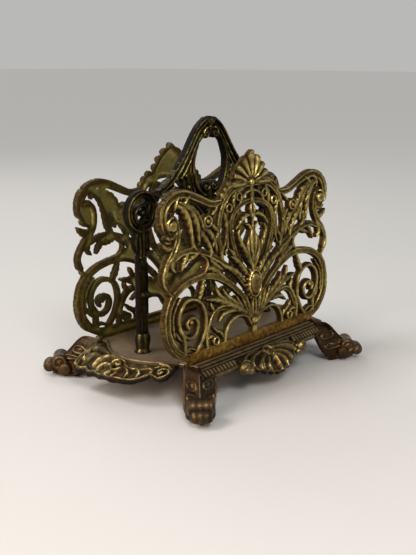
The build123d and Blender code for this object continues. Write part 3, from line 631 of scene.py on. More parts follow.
# ---- divider with its handle
def draw_divider():
    """Right half of the divider.  The height is above a web either side of the middle plane."""
    r = Relief((0, 51.5), (134, TOP_Z + 2), 0.72)
    band, leaf = r.stroke, r.leaf
    outer = smooth_line([(0, TOP_Z), (11, 287.5), (24, 277), (42, 252), (62, 230), (77, 219), (90, 213)])
    under = smooth_line([(88, 204), (75, 208), (60, 205), (38, 197), (20, 188), (9, 176), (0, 172)])
    r.fill(np.vstack([outer, under, [[-6, 172], [-6, TOP_Z]]]))
    grip = smooth_line([(0, 203.5), (16, 211), (24, 226), (25.5, 243), (19, 261), (9, 269), (4, 270)])
    r.cut(np.vstack([grip, [[-6, 270], [-6, 203]]]))
    for loop in ([(52, 226), (46, 222), (49, 216), (58, 217)],
                 [(70, 214.5), (77, 211.5), (72, 209.5), (64, 212)]):
        r.cut(smooth_line(loop, closed=True))
    # handle: three reeds that part as they run down
    band([(0, 288), (11, 285.3), (23.5, 275), (41, 251), (59.5, 231), (75, 219.3), (90, 212)],
         [4, 4, 4.4, 4.2, 3.6], [3.4, 3.2, 3])
    band([(6, 282.5), (18, 273.5), (34, 251), (49, 232), (65, 219.5), (84, 211)], [2.6, 3, 3.4, 3, 2.4], 2.4)
    band([(14, 271), (24, 259), (35, 240), (47, 226), (62, 215.5), (76, 210)], [2, 3, 3.6, 3.2, 2.4], 3.2)
    band([(8, 271), (17, 264), (24, 253), (27.5, 242), (26, 226), (18.5, 211), (8, 203)],
         [3.6, 4, 4.2, 4.2, 3.6], 3.6)
    band([(17, 268), (27, 252), (31.5, 240), (31.5, 224), (25, 209)], [1.6, 2.6, 3.2, 3, 2.4], 2.6)
    # leaves between the reeds
    leaf([(34, 204), (33, 214), (36, 225), (38, 236)], 9, 3.4, 5)
    leaf([(38, 203), (42, 210), (43, 218), (46, 228)], 8, 3.2, 4)
    leaf([(30, 207), (37, 209), (44, 208), (52, 211)], 8, 3.2, 4)
    leaf([(28, 214), (30, 221), (29, 229)], 5, 3.4, 3)
    r.ball(40, 228, 2.4, 4)
    r.ball(36, 215, 2.6, 4.2)
    r.ball(49, 210.5, 2.2, 3.8)
    # lower edge and the shield under the grip
    band([(92, 206.5), (80, 209.5), (68, 209), (54, 205), (38, 199.5), (24, 192.5), (13, 183), (5, 175),
          (0, 173.5)], [4, 5, 5.4, 5, 4], 3.2)
    leaf([(0, 206), (0, 196), (0, 186), (0, 176)], 13, 3.4, 5)
    leaf([(10, 203), (22, 202), (34, 203)], 8, 3, 4)
    leaf([(7, 199), (16, 195), (27, 197)], 7, 2.6, 4)
    # pairs of curled ends above and below the grip
    for z, spin in ((272, 1), (213, -1)):
        r.ball(6.8, z, 6.2, 1, 1.6, solid=True)
        r.volute(6.8, z, 90, 5, -spin * 1.15, 3.4, 4.4)
        r.ball(6.8, z, 1.9, 4.6)
    band([(0, 213), (0, 205)], [6, 9], 3, solid=True)
    band([(0, 278), (0, 271)], [7, 5], 3.6, reeded, solid=True)
    leaf([(0, 280), (5, 285), (10, 289)], 6, 4.2, 3)
    r.ball(0, 285.5, 4, 4.8)
    # medallion: double ring with a pierced scroll
    for radius, width, high in ((20.6, 4, 4), (16.2, 3.6, 3)):
        r.ring(POST_X, 196.6, radius, width, high, solid=True)
    r.volute(POST_X, 195, 250, 12, 1.1, 3.6, 3.4, solid=True)
    leaf([(96, 206), (103, 204), (109, 203), (113, 199)], 4.4, 3.4, 2, solid=True)
    leaf([(96, 185), (104, 188), (110, 186), (118, 189)], 4.8, 3.4, 2, solid=True)
    band([(95, 186), (98.5, 195), (96, 206)], 3, 2.8, solid=True)
    r.ball(POST_X, 195.5, 3.4, 4.4, solid=True)
    r.ball(86.5, 212, 4.4, 4.4, solid=True)
    band([(84, 207), (88, 202), (89, 194)], [6, 4], 3.2, solid=True)
    # post: flutes at the top, a long half round and an oval boss
    post = np.array([[POST_X, 52.2], [POST_X, 181]])
    side = nearest(post, r.X, r.Z)[0]
    half = 6.4 + 1.1 * step_up(148, 176, r.Z) + 1.1 * step_up(84, 60, r.Z)
    s = np.clip(side / half, -1, 1)
    inside = np.minimum(half - np.abs(side), np.minimum(r.Z - 51.6, 180 - r.Z))
    flute = 0.8 * np.cos(3.2 * pi * s) * step_up(146, 150, r.Z)
    r.add(np.s_[:, :], 3.2 * np.sqrt(1 - s * s) + flute, inside, solid=True)
    boss = np.clip(1 - ((r.X - POST_X) / 5.2) ** 2 - ((r.Z - 108) / 3.4) ** 2, 0, 1)
    r.height = np.maximum(r.height, np.where(boss > 0, 2.6 + 2.2 * np.sqrt(boss), 0))
    for sign in (1, -1):
        def beside(*points):
            return [(POST_X + sign * out, z) for out, z in points]
        band(beside((5.4, 86), (5.4, 142)), 1.6, 3.4)
        leaf(beside((5, 181), (9, 172), (10.5, 163), (7.5, 154)), 6, 3.4, 4, solid=True)
        leaf(beside((3, 84), (3.6, 72), (2.5, 62)), 5, 3.8, 4)
    leaf([(POST_X, 86), (POST_X, 74), (POST_X, 60)], 7, 4.2, 5)
    band([(100, 149), (113.8, 149)], 3, 4.2, curved=False)
    r.round_edges(2, 6)
    return r.mirrored()


divider_drawing = draw_divider()
divider_drawing.uneven(0.12)
DIVIDER_WEB = 1.2     # half the thickness of the divider between its strokes
divider_half = DIVIDER_WEB + np.clip(divider_drawing.height, -0.2, None)


def upright(x, z, h):
    return np.column_stack([x, -h, z])


divider = cast("divider_casting", divider_drawing, upright, divider_half, -divider_half, two_faced=True)

# the fluted sockets that the posts stand in: radius and height above the floor
socket = [(0.02, 0), (8.6, 0), (8.9, 2), (7.6, 4), (7.9, 7.5), (8.7, 12.5), (8.9, 16.5), (8.2, 20),
          (7.3, 21.5), (6.2, 21.1), (0.02, 21)]
feet = {node: turned(node, socket, (x, 0, FLOOR_Z), (0, 0, 1), 48, 0.55, flutes=7, depth=0.3)
        for node, x in (("post_foot_left", -POST_X), ("post_foot_right", POST_X))}


# ---- tray
BOW_DEPTH, BOW_HALF = 27, 55      # how far each end bows out, and half the length of the bow
MIDDLE_X = 50                     # the mouldings have no lower half between -MIDDLE_X and MIDDLE_X
DENTILS, DENTIL_STEP, DENTIL_WIDTH = 10, 5.3, 3.2


def outline_of_tray(inset):
    """Right-hand turning outline of the floor, seen from above."""
    y, x = CORNER_Y - inset, CORNER_X - inset
    bow = [(BOW_X - inset - BOW_DEPTH * t * t, t * (BOW_HALF - inset / 2)) for t in (-1, -0.5, 0, 0.5, 1)]
    right = np.vstack([[[0, -y], [x, -y]], smooth_line(bow, 3), [[x, y], [0, y]]])
    left = right[::-1][1:-1] * [-1, 1]
    return np.vstack([right, left])


def tray():
    # the floor: inset and height of each ring from the underside up, and how worn it is
    levels = ((0.6, -4, 0.4), (0, -3.3, 0.6), (0, -0.9, 0.7), (0.4, -0.1, 0.8), (0.8, 0, 0.5))
    rings = [[(x, y, FLOOR_Z + z) for x, y in outline_of_tray(inset)] for inset, z, _ in levels]
    worn = [[tone] * len(rings[0]) for _, _, tone in levels]
    parts = [skin("tray_plate", rings, worn, smooth=False)]
    # bead along each bowed end
    for side in (1, -1):
        bow = [(BOW_X - 1.4 - BOW_DEPTH * t * t, t * (BOW_HALF - 0.8)) for t in (-1, -0.5, 0, 0.5, 1)]
        line = smooth_line(bow, 1.6) * [side, 1]
        parts.append(rod("tray_bead", np.column_stack([line, np.full(len(line), FLOOR_Z - 0.3)]), 1.7, 12,
                         0.62))
    # mouldings down the long sides, as (y, z), with dentils over the cove of their outer halves
    section = [(74, 44.5), (77, 44.5), (78.4, 44.2), (79.1, 43.2), (78.7, 42.3), (79.6, 41.9), (80.9, 41.5),
               (81.4, 40.6), (80.9, 39.8), (81.1, 38.4), (85.2, 34.9), (86.8, 35.2), (88.7, 34.6),
               (89.9, 33.4), (MOULDED_Y, 31.5), (86.6, 31.5), (77, 40.6), (74, 40.6)]
    worn = [0.5, 0.6, 0.62, 0.58, 0.2, 0.5, 0.62, 0.58, 0.25, 0.15, 0.15, 0.5, 0.62, 0.6, 0.5, 0.4, 0.4, 0.4]
    upper = section[:9] + [(79, 37.5), (77, 40.6), (74, 40.6)]
    block = [(80.6, 39.8), (82.6, 39.8), (87, 36.1), (86.6, 34.8), (84.8, 34.6), (80.8, 38)]
    for side in (1, -1):
        for start, end in ((0.6 - CORNER_X, -MIDDLE_X), (MIDDLE_X, CORNER_X - 0.6)):
            parts.append(bar("moulding", section, side, start, end, worn))
        parts.append(bar("moulding", upper, side, -MIDDLE_X, MIDDLE_X, worn[:9] + [0.3, 0.3, 0.3]))
        for k in range(DENTILS):
            for x in (MIDDLE_X + 4.5 + DENTIL_STEP * k, -MIDDLE_X - 4.5 - DENTIL_STEP * k):
                parts.append(bar("dentil", block, side, x - DENTIL_WIDTH / 2, x + DENTIL_WIDTH / 2,
                                 [0.5, 0.66, 0.66, 0.5, 0.3, 0.3]))
    return join("tray", parts)


# ---- aprons
def draw_shell():
    """Half of a long side's shell apron.  x runs along the side, z down from the tray to the lip."""
    r = Relief((0, 0), (52, 40), 0.7)
    band, leaf = r.stroke, r.leaf
    lip = smooth_line([(0, 37.5), (5, 38.6), (9, 36.4), (14, 37), (18.5, 34.4), (24, 34.6), (28, 31.6),
                       (33, 31), (37, 27.8), (42, 26.6), (45, 23.4), (48, 22)])
    r.fill(np.vstack([lip, [[50, 8], [46, 1], [-6, 1], [-6, 37.5]]]))
    turn = np.arctan2(r.X, r.Z + 20)
    r.height = 0.8 + 1.8 * np.abs(np.cos(7 * turn)) * step_up(2, 14, r.Z)
    band(np.column_stack([lip[:, 0] * 0.965, lip[:, 1] - 1.8]), 3, 4, curved=False)
    leaf([(13, 3), (27, 4.5), (38, 9), (45, 19)], 8.5, 5.4, 2)
    leaf([(7, 6), (21, 9), (33, 16), (39.5, 26)], 11, 6.4, 2)
    leaf([(6, 12), (17, 17), (25.5, 24.5), (27.5, 32)], 10, 6.6, 2)
    leaf([(3, 14), (9.5, 20), (14.5, 28), (13.5, 36)], 9, 6.4, 2)
    band([(17, 9.5), (27, 12), (35, 18.5), (38, 26)], 1.6, 7.2)
    band([(13, 16), (21, 21.5), (25, 30)], 1.5, 7.2)
    leaf([(0, 15), (0, 24), (0, 31), (0, 37)], 9, 7, 2)
    band([(0, 13), (0, 26), (0, 37)], 2, 8)
    r.ring(0, 9.5, 7, 4.6, 6.4)
    r.ball(0, 9.5, 4.8, 4.6)
    r.volute(45, 20, 200, 5.5, 1, 3.4, 6)
    r.round_edges(1.8, 9)
    return r.mirrored()


def shell_surface(x, v):
    """Ogee of the shell apron on the +Y side: v runs down it, and its ends fall and swell less."""
    t = np.clip(v / 38, 0, 1.1)
    ends = (x / 52) ** 2
    y = CORNER_Y + 2.5 + 28 * t**0.9 * (1 - 0.22 * ends)
    z = FLOOR_Z - 5.5 - 21 * t + 3.4 * np.sin(pi * t) + 6 * ends * t
    return np.column_stack([x, y, z])


def draw_end():
    """An end apron.  x runs along the bow from its bold end to its fine end, z down from the bead."""
    r = Relief((-57, 0), (57, 34), 0.75)
    band, leaf = r.stroke, r.leaf
    lip = smooth_line([(-55, 9), (-55.5, 18), (-53.5, 26), (-48.5, 31), (-42, 31.6), (-36, 29.6), (-30, 31.6),
                       (-23, 30), (-15, 31.4), (-7, 30), (2, 31), (12, 30), (22, 30.4), (31, 28.6), (37, 25),
                       (41, 23), (45, 25.6), (50, 28.4), (54, 26.5), (55.5, 19), (55, 9)])
    r.fill(np.vstack([lip, [[55, 0.8], [-55, 0.8], [-55, 9]]]))
    r.height = 2.2 + 0.5 * np.sin(0.5 * r.X) * np.sin(0.45 * r.Z)
    # rolled lip
    band(np.column_stack([lip[:, 0] * 0.97, lip[:, 1] - 2.2]), 4.2, 5.6, curved=False)
    # bold end: a broad leaf that turns over on itself
    leaf([(-24, 4), (-36, 5), (-47, 10), (-52, 20), (-47, 28)], 12, 7.4, 2)
    leaf([(-28, 12), (-38, 14), (-43, 21), (-40, 29)], 10.5, 7, 2)
    leaf([(-46, 4), (-51, 7), (-54, 14)], 6.5, 6, 2)
    r.volute(-46.5, 21.5, 120, 6.5, 1.1, 4.2, 7.6)
    r.ball(-46.5, 21.5, 3, 8)
    # swirl in the middle with the leaves that flow from it
    leaf([(6, 6), (-6, 4), (-18, 7), (-27, 15), (-29, 24)], 11, 7.4, 2)
    leaf([(-6, 16), (-14, 17), (-20, 23), (-19, 30)], 10, 7, 2)
    leaf([(-2, 21), (-5, 26), (-10, 30)], 8, 6.4, 2)
    r.volute(1, 13.5, 30, 7.4, 1.25, 4.4, 7.2)
    r.ball(1, 13.5, 3.4, 7.6)
    leaf([(6, 19), (5, 25), (1, 30)], 7.5, 6.4, 2)
    # fluted ribbon towards the fine end
    band([(7, 8), (17, 12.5), (29, 13), (40, 8.5), (46, 4)], [5, 6.5, 6, 5], [4.6, 5.4, 4.6], hollow)
    leaf([(11, 14), (18, 20), (17, 28)], 8, 6, 2)
    leaf([(23, 14), (29, 19), (28, 27)], 8, 5.8, 2)
    leaf([(34, 11), (39, 16), (37, 24)], 7.5, 5.6, 2)
    leaf([(40, 3), (46, 6), (52, 13), (52, 23)], 9, 7, 2)
    r.volute(47.5, 19, 80, 5.6, -1.1, 4.2, 7.2)
    r.ball(47.5, 19, 2.8, 7.6)
    r.round_edges(2, 9)
    return r


def end_surface(y, v):
    """Sloping face of the end apron on the +X side, under the bow.  Its bold end is drawn out in y."""
    t = np.clip(v / 29, 0, 1.15)
    y = np.where(y < -20, -20 + (y + 20) * 1.2, y)
    part = np.abs(y) / BOW_HALF
    top = BOW_X - 1.6 - BOW_DEPTH * np.minimum(part, 1) ** 2
    low = BOW_X + 20.5 - np.where(y < 0, 3, 29) * part**2
    x = top + (low - top) * (0.8 * t + 0.2 * t * t)
    z = FLOOR_Z - 2.9 - (14.2 - 1.8 * y / BOW_HALF) * t + 2.6 * np.sin(pi * np.clip(t, 0, 1))
    return np.column_stack([x, y, z])


BUTTON = both_ways([(0, -0.85), (0.34, -0.95), (0.46, -0.7), (0.8, -0.62), (1, -0.15)])


def apron(name, drawing, surface, out, scale, balls=()):
    """scale turns the +X or +Y apron to its own side.  A ball is its middle, radius and axis."""
    face = drawing.height - 1.2
    shell = -3.6 + 1.2 * step_up(1.5, 3.5, drawing.inside) + 0.45 * (1 - step_up(0, 1.2, drawing.inside))

    def base(u, v):
        return surface(u, v) * scale

    parts = [cast(name, drawing, on_surface(base, out * scale), face, np.minimum(shell, face - 1.2))]
    for middle, radius, axis in balls:
        profile = [(max(radius * across, 0.02), radius * along) for across, along in BUTTON]
        parts.append(turned(name, profile, middle * scale, axis * scale, 32, 0.72))
    return join(name, parts)


shell_drawing, end_drawing = draw_shell(), draw_end()
shell_drawing.uneven(0.16)
end_drawing.uneven(0.16)
side_balls = []
for x, y, z, radius, lean, drop in ((51, 96.5, 33, 7.2, 0.25, -0.25), (43.5, 99, 29, 4.2, 0, -0.4)):
    side_balls += [(np.array((side * x, y, z)), radius, np.array((side * lean, 1, drop))) for side in (1, -1)]
aprons = {}
for node, scale in (("apron_rear", (1, 1, 1)), ("apron_front", (1, -1, 1))):
    aprons[node] = apron(node + "_casting", shell_drawing, shell_surface, np.array((0, 1, 0.5)),
                         np.array(scale), side_balls)
for node, scale in (("apron_right", (1, 1, 1)), ("apron_left", (-1, -1, 1))):
    aprons[node] = apron(node + "_casting", end_drawing, end_surface, np.array((1, 0, 0.5)), np.array(scale))


# ---- legs
# the way down a leg, as (distance out from the tray's corner, height), over its flanges and over its ridge
flange_line = smooth_line([(6, 44.4), (11, 43.2), (15.5, 37), (18.5, 30), (21, 22), (24, 13.5), (28, 6.5),
                           (31.5, 2.6)], 0.5)
ridge_line = smooth_line([(6, 44.4), (11, 43.4), (15.5, 39), (19, 33.4), (22.5, 28), (25.6, 24), (28.5, 22),
                          (32, 21), (35.5, 19), (37.6, 15), (38.2, 10), (37, 5.4), (34.5, 1.6)], 0.5)
flange_run = np.concatenate([[0], np.cumsum(np.hypot(*(flange_line[1:] - flange_line[:-1]).T))])
LEG_LENGTH = float(flange_run[-1])
ridge_run = np.linspace(0, LEG_LENGTH, len(ridge_line))


def leg_surface(u, v):
    """Leg at +X and +Y: u runs from the long flange over the ridge to the end flange, v down the face."""
    ridge = 1 - step_up(7, 23, np.abs(u))
    out, z = (np.interp(v, flange_run, flange_line[:, k]) * (1 - ridge)
              + np.interp(v, ridge_run, ridge_line[:, k]) * ridge for k in (0, 1))
    soft, splay = 3.2, 0.12
    along = np.sqrt(u * u + soft * soft) - soft
    x = CORNER_X + out - along * np.where(u < 0, 1, splay)
    y = CORNER_Y + out - along * np.where(u > 0, 1, splay)
    return np.column_stack([x, y, z])


def draw_leg():
    """Face of a leg, unrolled: x across the two flanges, z down the face.  The long flange is at x < 0."""
    r = Relief((-36, 0), (29, LEG_LENGTH), 0.7)
    band, leaf = r.stroke, r.leaf
    end = LEG_LENGTH
    edge = smooth_line([(-29, 13.6), (-33, 16), (-33, 26), (-31, 38), (-27.5, 48), (-22, end - 1),
                        (-11, end - 0.2), (0, end), (11, end - 0.2), (23.5, end - 1), (27.6, 48), (28, 38),
                        (27.6, 26), (26.6, 12), (24, 1), (2, 0.6), (-0.5, 3), (-3, 10), (-8, 13.4),
                        (-29, 13.6)])
    r.fill(edge[:-1])
    r.height[:] = 0.5
    band(edge[:-1], 4.4, 2.8, curved=False)
    band([(0, 2), (0, 20), (0, 36)], [4.5, 4, 5], 3)
    for side, wide in ((-1, 34), (1, 28)):
        c, k = side * wide / 2, wide / 31
        # two oval rings, the lower one open, each round a ball and a finer ring
        for z, half_wide, half_high, gap in ((18.5, 8, 3.8, 0), (31, 8.6, 4.8, 8)):
            turn = np.linspace(0, 2 * pi, 40)[gap:40 - gap] + side * 0.5 * pi
            out, up = half_wide * k * np.cos(turn), half_high * np.sin(turn)
            slant = 0.3 * side * out
            band(np.column_stack([c + out, z + up + slant]), 2.8, 4.2, curved=False)
            band(np.column_stack([c + 0.5 * out, z + 0.5 * (up + slant)]), 1.6, 3.2, curved=False)
            r.ball(c, z, 2.8, 4.4)
        # hood that runs from the ridge round the knuckle
        s = side * k
        band([(0, 30), (8 * s, 36), (15 * s, 44), (18 * s, 52)], [4, 4.4, 4, 3], 3.8)
        band([(0, 37), (5 * s, 42), (8 * s, 50)], [3.4, 3.6, 3], 3.4)
    r.height = 0.5 + 0.62 * (r.height - 0.5)
    r.round_edges(2.2, 8)
    return r


# rolls across the foot of a leg: (distance out from the tray's corner, height), sides, wear and half profile
ROLLS = (
    # the knuckle, with a turned eye at each end
    ((29.2, 17.6), 40, 0.6,
     [(0.02, -13.6), (1.8, -13.8), (2.8, -12.4), (4.4, -12), (5.8, -13.4), (7.4, -13), (9.2, -10.8),
      (8.9, -6), (8.6, 0)]),
    # the toe in front of it
    ((37.7, 12.2), 32, 0.55,
     [(0.02, -11), (1.8, -11.2), (3, -10.4), (4.8, -10.2), (6.3, -8), (7.1, -4), (7.3, 0)]),
    # the broad foot under them
    ((25.4, 9.9), 40, 0.5, [(0.02, -15.2), (4, -15), (6.4, -13.8), (7.8, -11.2), (8.6, -7), (8.9, 0)]))


def leg(name, scale):
    """scale turns the leg at +X and +Y to its own corner."""
    def base(u, v):
        return leg_surface(u, v) * scale

    face = leg_drawing.height - 0.8
    parts = [cast(name, leg_drawing, on_surface(base, (1, 1, 0.3) * scale), face, np.full_like(face, -4.6))]
    for (out, z), around, worn, half in ROLLS:
        middle = (CORNER_X + out, CORNER_Y + out, z) * scale
        parts.append(turned(name, both_ways(half), middle, (1, -1, 0) * scale, around, worn))
    return join(name, parts)


leg_drawing = draw_leg()
legs = {"leg_%s_%s" % (y_name, x_name): leg("leg_%s_%s_casting" % (y_name, x_name), np.array((sx, sy, 1)))
        for y_name, sy in (("front", -1), ("rear", 1)) for x_name, sx in (("left", -1), ("right", 1))}


# ---- finishes
def linear(code):
    """A colour written as six hex digits, as linear red, green, blue and alpha."""
    parts = [int(code[i:i + 2], 16) / 255 for i in (0, 2, 4)]
    return tuple(((c + 0.055) / 1.055) ** 2.4 if c > 0.04 else c / 12.92 for c in parts) + (1.0,)


class Finish:
    """Builds a node material step by step."""

    def __init__(self, name):
        self.material = bpy.data.materials.new(name)
        self.material.use_nodes = True
        self.tree = self.material.node_tree
        self.surface = self.tree.nodes["Principled BSDF"]
        self.place = self.new("TexCoord").outputs["Object"]

    def new(self, kind):
        return self.tree.nodes.new("ShaderNode" + kind)

    def feed(self, socket, value):
        if isinstance(value, bpy.types.NodeSocket):
            self.tree.links.new(value, socket)
        else:
            socket.default_value = value

    def noise(self, scale, detail=4.0, rough=0.6, warp=0.0):
        node = self.new("TexNoise")
        self.feed(node.inputs["Vector"], self.place)
        for key, value in (("Scale", scale), ("Detail", detail), ("Roughness", rough), ("Distortion", warp)):
            node.inputs[key].default_value = value
        return node.outputs["Fac"]

    def along(self, axis, vector=None):
        """One part of a vector, of the place in the object unless another is given."""
        node = self.new("SeparateXYZ")
        self.feed(node.inputs[0], vector or self.place)
        return node.outputs[axis]

    def attribute(self, name):
        node = self.new("Attribute")
        node.attribute_name = name
        return node.outputs["Fac"]

    def maths(self, kind, a, b=0.5, clamp=False):
        node = self.new("Math")
        node.operation = kind
        node.use_clamp = clamp
        self.feed(node.inputs[0], a)
        self.feed(node.inputs[1], b)
        return node.outputs[0]

    def plus(self, a, b, clamp=False):
        return self.maths("ADD", a, b, clamp)

    def times(self, a, b):
        return self.maths("MULTIPLY", a, b)

    def swing(self, noise, amount):
        """A noise as so much either side of nothing."""
        return self.times(self.maths("SUBTRACT", noise, 0.5), amount)

    def beyond(self, value, limit, over):
        """0 where value is below a limit, rising to 1 over a short distance past it."""
        return self.maths("DIVIDE", self.maths("SUBTRACT", value, limit), over, clamp=True)

    def ramp(self, value, *stops):
        """Each stop is a position, and a colour or a grey."""
        node = self.new("ValToRGB")
        self.feed(node.inputs["Fac"], value)
        points = node.color_ramp.elements
        while len(points) < len(stops):
            points.new(0.5)
        for point, (at, tone) in zip(points, stops):
            point.position = at
            point.color = linear(tone) if isinstance(tone, str) else (tone, tone, tone, 1)
        return node.outputs["Color"]

    def blend(self, amount, a, b):
        node = self.new("Mix")
        node.data_type = "RGBA"
        for socket, value in ((node.inputs["Factor"], amount), (node.inputs[6], a), (node.inputs[7], b)):
            self.feed(socket, value)
        return node.outputs[2]

    def relief(self, height, strength, distance):
        node = self.new("Bump")
        node.inputs["Strength"].default_value = strength
        node.inputs["Distance"].default_value = distance
        self.feed(node.inputs["Height"], height)
        self.feed(self.surface.inputs["Normal"], node.outputs["Normal"])

    def done(self, colour, metallic, roughness):
        self.feed(self.surface.inputs["Base Color"], colour)
        self.feed(self.surface.inputs["Metallic"], metallic)
        self.feed(self.surface.inputs["Roughness"], roughness)
        return self.material


def old_brass(name, deep, body, light, bright, wear, specks="5d7275", rust=0.3, blue=0.3, inner=None,
              foot=None):
    """Cast brass: dark patina in the hollows, rubbed crests, brown stains and a few blue-green specks.

    inner has three colours for the back of the casting, and foot three for its plinth."""
    f = Finish(name)
    fine, middle, broad = f.noise(900, 5), f.noise(170, 4, 0.65, 0.3), f.noise(26, 3)
    tone = f.plus(f.attribute("worn"), f.swing(middle, 0.5))
    tone = f.plus(tone, f.swing(broad, 0.6))
    tone = f.plus(tone, f.swing(fine, 0.3), clamp=True)
    tone = f.plus(tone, wear, clamp=True)
    colour = f.ramp(tone, (0.16, deep), (0.4, body), (0.62, light), (0.9, bright))
    if foot:
        # flanks of the strokes, which no polishing reaches, then the plinth, painted over them
        normal = f.new("NewGeometry").outputs["Normal"]
        flank = f.ramp(f.maths("ABSOLUTE", f.along("Y", normal)), (0.25, 1.0), (0.62, 0.0))
        colour = f.blend(f.times(flank, 0.93), colour, f.ramp(middle, (0.35, "170e05"), (0.65, "442b10")))
        above = f.beyond(f.along("Z"), (PLINTH_TOP - 0.7) * MM, 0.8 * MM)
        plinth = f.ramp(f.plus(f.times(middle, 0.6), f.times(broad, 0.4)),
                        (0.38, foot[0]), (0.5, foot[1]), (0.62, foot[2]))
        colour = f.blend(above, plinth, colour)
    if inner:
        back = f.ramp(tone, (0.2, inner[0]), (0.45, inner[1]), (0.7, inner[2]))
        colour = f.blend(f.attribute("behind"), colour, back)
    stain = f.ramp(f.noise(38, 4, 0.7, 0.6), (0.5, 0.0), (0.68, 1.0))
    colour = f.blend(f.times(stain, rust), colour, linear("4a2508"))
    spots = f.ramp(f.noise(210, 3, 0.6, 0.4), (0.63, 0.0), (0.69, 1.0))
    patches = f.ramp(f.noise(24, 2), (0.5, 0.0), (0.62, 1.0))
    colour = f.blend(f.times(f.times(spots, patches), blue), colour, linear(specks))
    metallic = f.ramp(tone, (0.15, 0.5), (0.45, 0.85), (0.75, 1.0))
    rough = f.ramp(tone, (0.15, 0.66), (0.45, 0.44), (0.85, 0.27))
    f.relief(f.plus(f.times(fine, 0.5), middle), 0.35, 0.6 * MM)
    f.surface.inputs["Specular IOR Level"].default_value = 0.15
    return f.done(colour, metallic, f.plus(rough, f.swing(fine, 0.2)))


def dusty_bronze(name):
    """Flat brown bronze under a film of dust, with darker brass mouldings down the long sides."""
    f = Finish(name)
    broad, middle, fine = f.noise(16, 5, 0.6, 0.5), f.noise(90, 4), f.noise(1100, 3)
    dust = f.ramp(f.plus(f.times(broad, 0.7), f.times(middle, 0.3)),
                  (0.3, "433524"), (0.5, "5a4a35"), (0.68, "705f48"))
    stain = f.ramp(f.noise(30, 3, 0.6, 1.2), (0.56, 0.0), (0.6, 1.0))
    dust = f.blend(f.times(stain, 0.35), dust, linear("4a3b29"))
    tone = f.plus(f.attribute("worn"), f.swing(f.noise(150, 4), 0.5))
    brass = f.ramp(tone, (0.2, "120b05"), (0.42, "3a2c1a"), (0.62, "65543a"), (0.85, "96804e"))
    # the dust lies on the floor itself, not on the bead and the mouldings round it, nor under it
    moulding = f.beyond(f.maths("ABSOLUTE", f.along("Y")), (CORNER_Y - 0.8) * MM, 0.8 * MM)
    raised = f.beyond(f.along("Z"), (FLOOR_Z + 0.05) * MM, 0.3 * MM)
    under = f.maths("SUBTRACT", 1.0, f.beyond(f.along("Z"), (FLOOR_Z - 0.7) * MM, 0.4 * MM))
    metal = f.maths("MAXIMUM", f.maths("MAXIMUM", moulding, raised), under)
    f.relief(f.plus(middle, f.times(fine, 0.4)), 0.25, 0.5 * MM)
    rough = f.blend(metal, (0.6, 0.6, 0.6, 1), (0.46, 0.46, 0.46, 1))
    return f.done(f.blend(metal, dust, brass), f.plus(f.times(metal, 0.75), 0.08), rough)


def aged_steel(name):
    f = Finish(name)
    fine, middle = f.noise(700, 4), f.noise(120, 4)
    f.relief(fine, 0.3, 0.4 * MM)
    return f.done(f.ramp(middle, (0.35, "2e2a26"), (0.6, "6d675f")), 0.9,
                  f.ramp(middle, (0.3, 0.55), (0.7, 0.35)))


def finish(node, piece, material):
    """Paints a piece, and stands it in for its CAD node."""
    piece.data.materials.clear()
    piece.data.materials.append(material)
    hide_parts(node)
    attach(piece, "root")


panel_paint = old_brass("panel_brass", "140f06", "493c1e", "8d7b45", "dcc87a", -0.03, rust=0.35, blue=0.35,
                        inner=("372d0e", "756830", "bdae66"), foot=("3a260b", "6b4d1a", "937531"))
cast_paint = old_brass("cast_brass", "171009", "3d321d", "655736", "978756", -0.05)
leg_paint = old_brass("leg_brass", "120b06", "35281a", "554630", "85744c", -0.05, blue=0.2)
black_paint = old_brass("black_brass", "060403", "0e0b06", "453d1e", "b3a45c", -0.03, "1f3a33", 0.15, 0.2)
foot_paint = old_brass("foot_brass", "0b0904", "2a2310", "5c522c", "a6965a", -0.1, rust=0.35, blue=0.2)

finish("panel_front", panel_front, panel_paint)
finish("panel_rear", panel_rear, panel_paint)
finish("divider", divider, black_paint)
for node, piece in feet.items():
    finish(node, piece, foot_paint)
finish("base_plate", tray(), dusty_bronze("tray_bronze"))
for node, piece in aprons.items():
    finish(node, piece, cast_paint)
for node, piece in legs.items():
    finish(node, piece, leg_paint)
steel_paint = aged_steel("screw_steel")
for node in ("panel_screws", "divider_screws", "divider_washers", "leg_screws", "apron_screws"):
    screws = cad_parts[node].data
    screws.materials.clear()
    screws.materials.append(steel_paint)


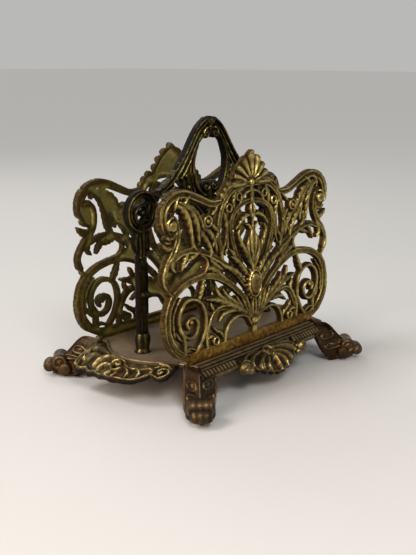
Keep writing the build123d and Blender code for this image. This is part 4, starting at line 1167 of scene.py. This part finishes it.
# ---- camera and light, in metres
scene = bpy.context.scene
AZIMUTH, ELEVATION, ROLL = radians(-49.28), radians(13.98), radians(0.27)
DISTANCE, TARGET = 0.9984, Vector((0.0004, 0, 0.1066))
lens = bpy.data.cameras.new("camera")
lens.lens = 56.3
lens.sensor_width = 36
lens.sensor_fit = "AUTO"
camera = new_object("camera", lens)
towards = Vector((sin(AZIMUTH) * cos(ELEVATION), -cos(AZIMUTH) * cos(ELEVATION), sin(ELEVATION)))
camera.location = TARGET + DISTANCE * towards
camera.rotation_euler = (-towards).to_track_quat("-Z", "Y").to_euler()
camera.rotation_euler.rotate_axis("Z", ROLL)
scene.camera = camera


def soft_light(name, at, size, power, colour=(1, 1, 1)):
    """A round lamp turned to the middle of the stand."""
    data = bpy.data.lights.new(name, "AREA")
    data.shape = "DISK"
    data.size = size
    data.energy = power
    data.color = colour
    lamp = new_object(name, data)
    lamp.location = at
    lamp.rotation_euler = (Vector((0, 0, 0.12)) - Vector(at)).to_track_quat("-Z", "Y").to_euler()


soft_light("key", (-0.9, -1.2, 1.3), 0.6, 20)
soft_light("side", (-1.6, 0.4, 0.9), 0.8, 12, (1, 0.95, 0.88))
soft_light("back", (0.5, 1.5, 1.4), 1.0, 8)
soft_light("warm", (-1.5, -0.35, 0.45), 0.5, 9, (1, 0.62, 0.34))

window = bpy.data.lights.new("window_light", "SUN")
window.energy = 1.5
window.angle = radians(24)
new_object("window_light", window).rotation_euler = (
    Vector((-0.75, 0.5, 1.15)).to_track_quat("Z", "Y").to_euler())

world = bpy.data.worlds.new("studio")
world.use_nodes = True
sky = world.node_tree.nodes["Background"].inputs
sky["Color"].default_value = (0.88, 0.88, 0.87, 1)
sky["Strength"].default_value = 0.55
scene.world = world
scene.view_settings.view_transform = "Standard"

FLOOR_REACH = 30
floor_mesh = bpy.data.meshes.new("floor")
floor_mesh.from_pydata([(x * FLOOR_REACH, y * FLOOR_REACH, 0) for x,
                        y in ((-1, -1), (1, -1), (1, 1), (-1, 1))], [], [(0, 1, 2, 3)])
floor = new_object("floor", floor_mesh)
floor_paint = bpy.data.materials.new("floor_paint")
floor_paint.use_nodes = True
plain = floor_paint.node_tree.nodes["Principled BSDF"].inputs
plain["Base Color"].default_value = (0.5, 0.487, 0.468, 1)
plain["Roughness"].default_value = 0.7
floor_mesh.materials.append(floor_paint)
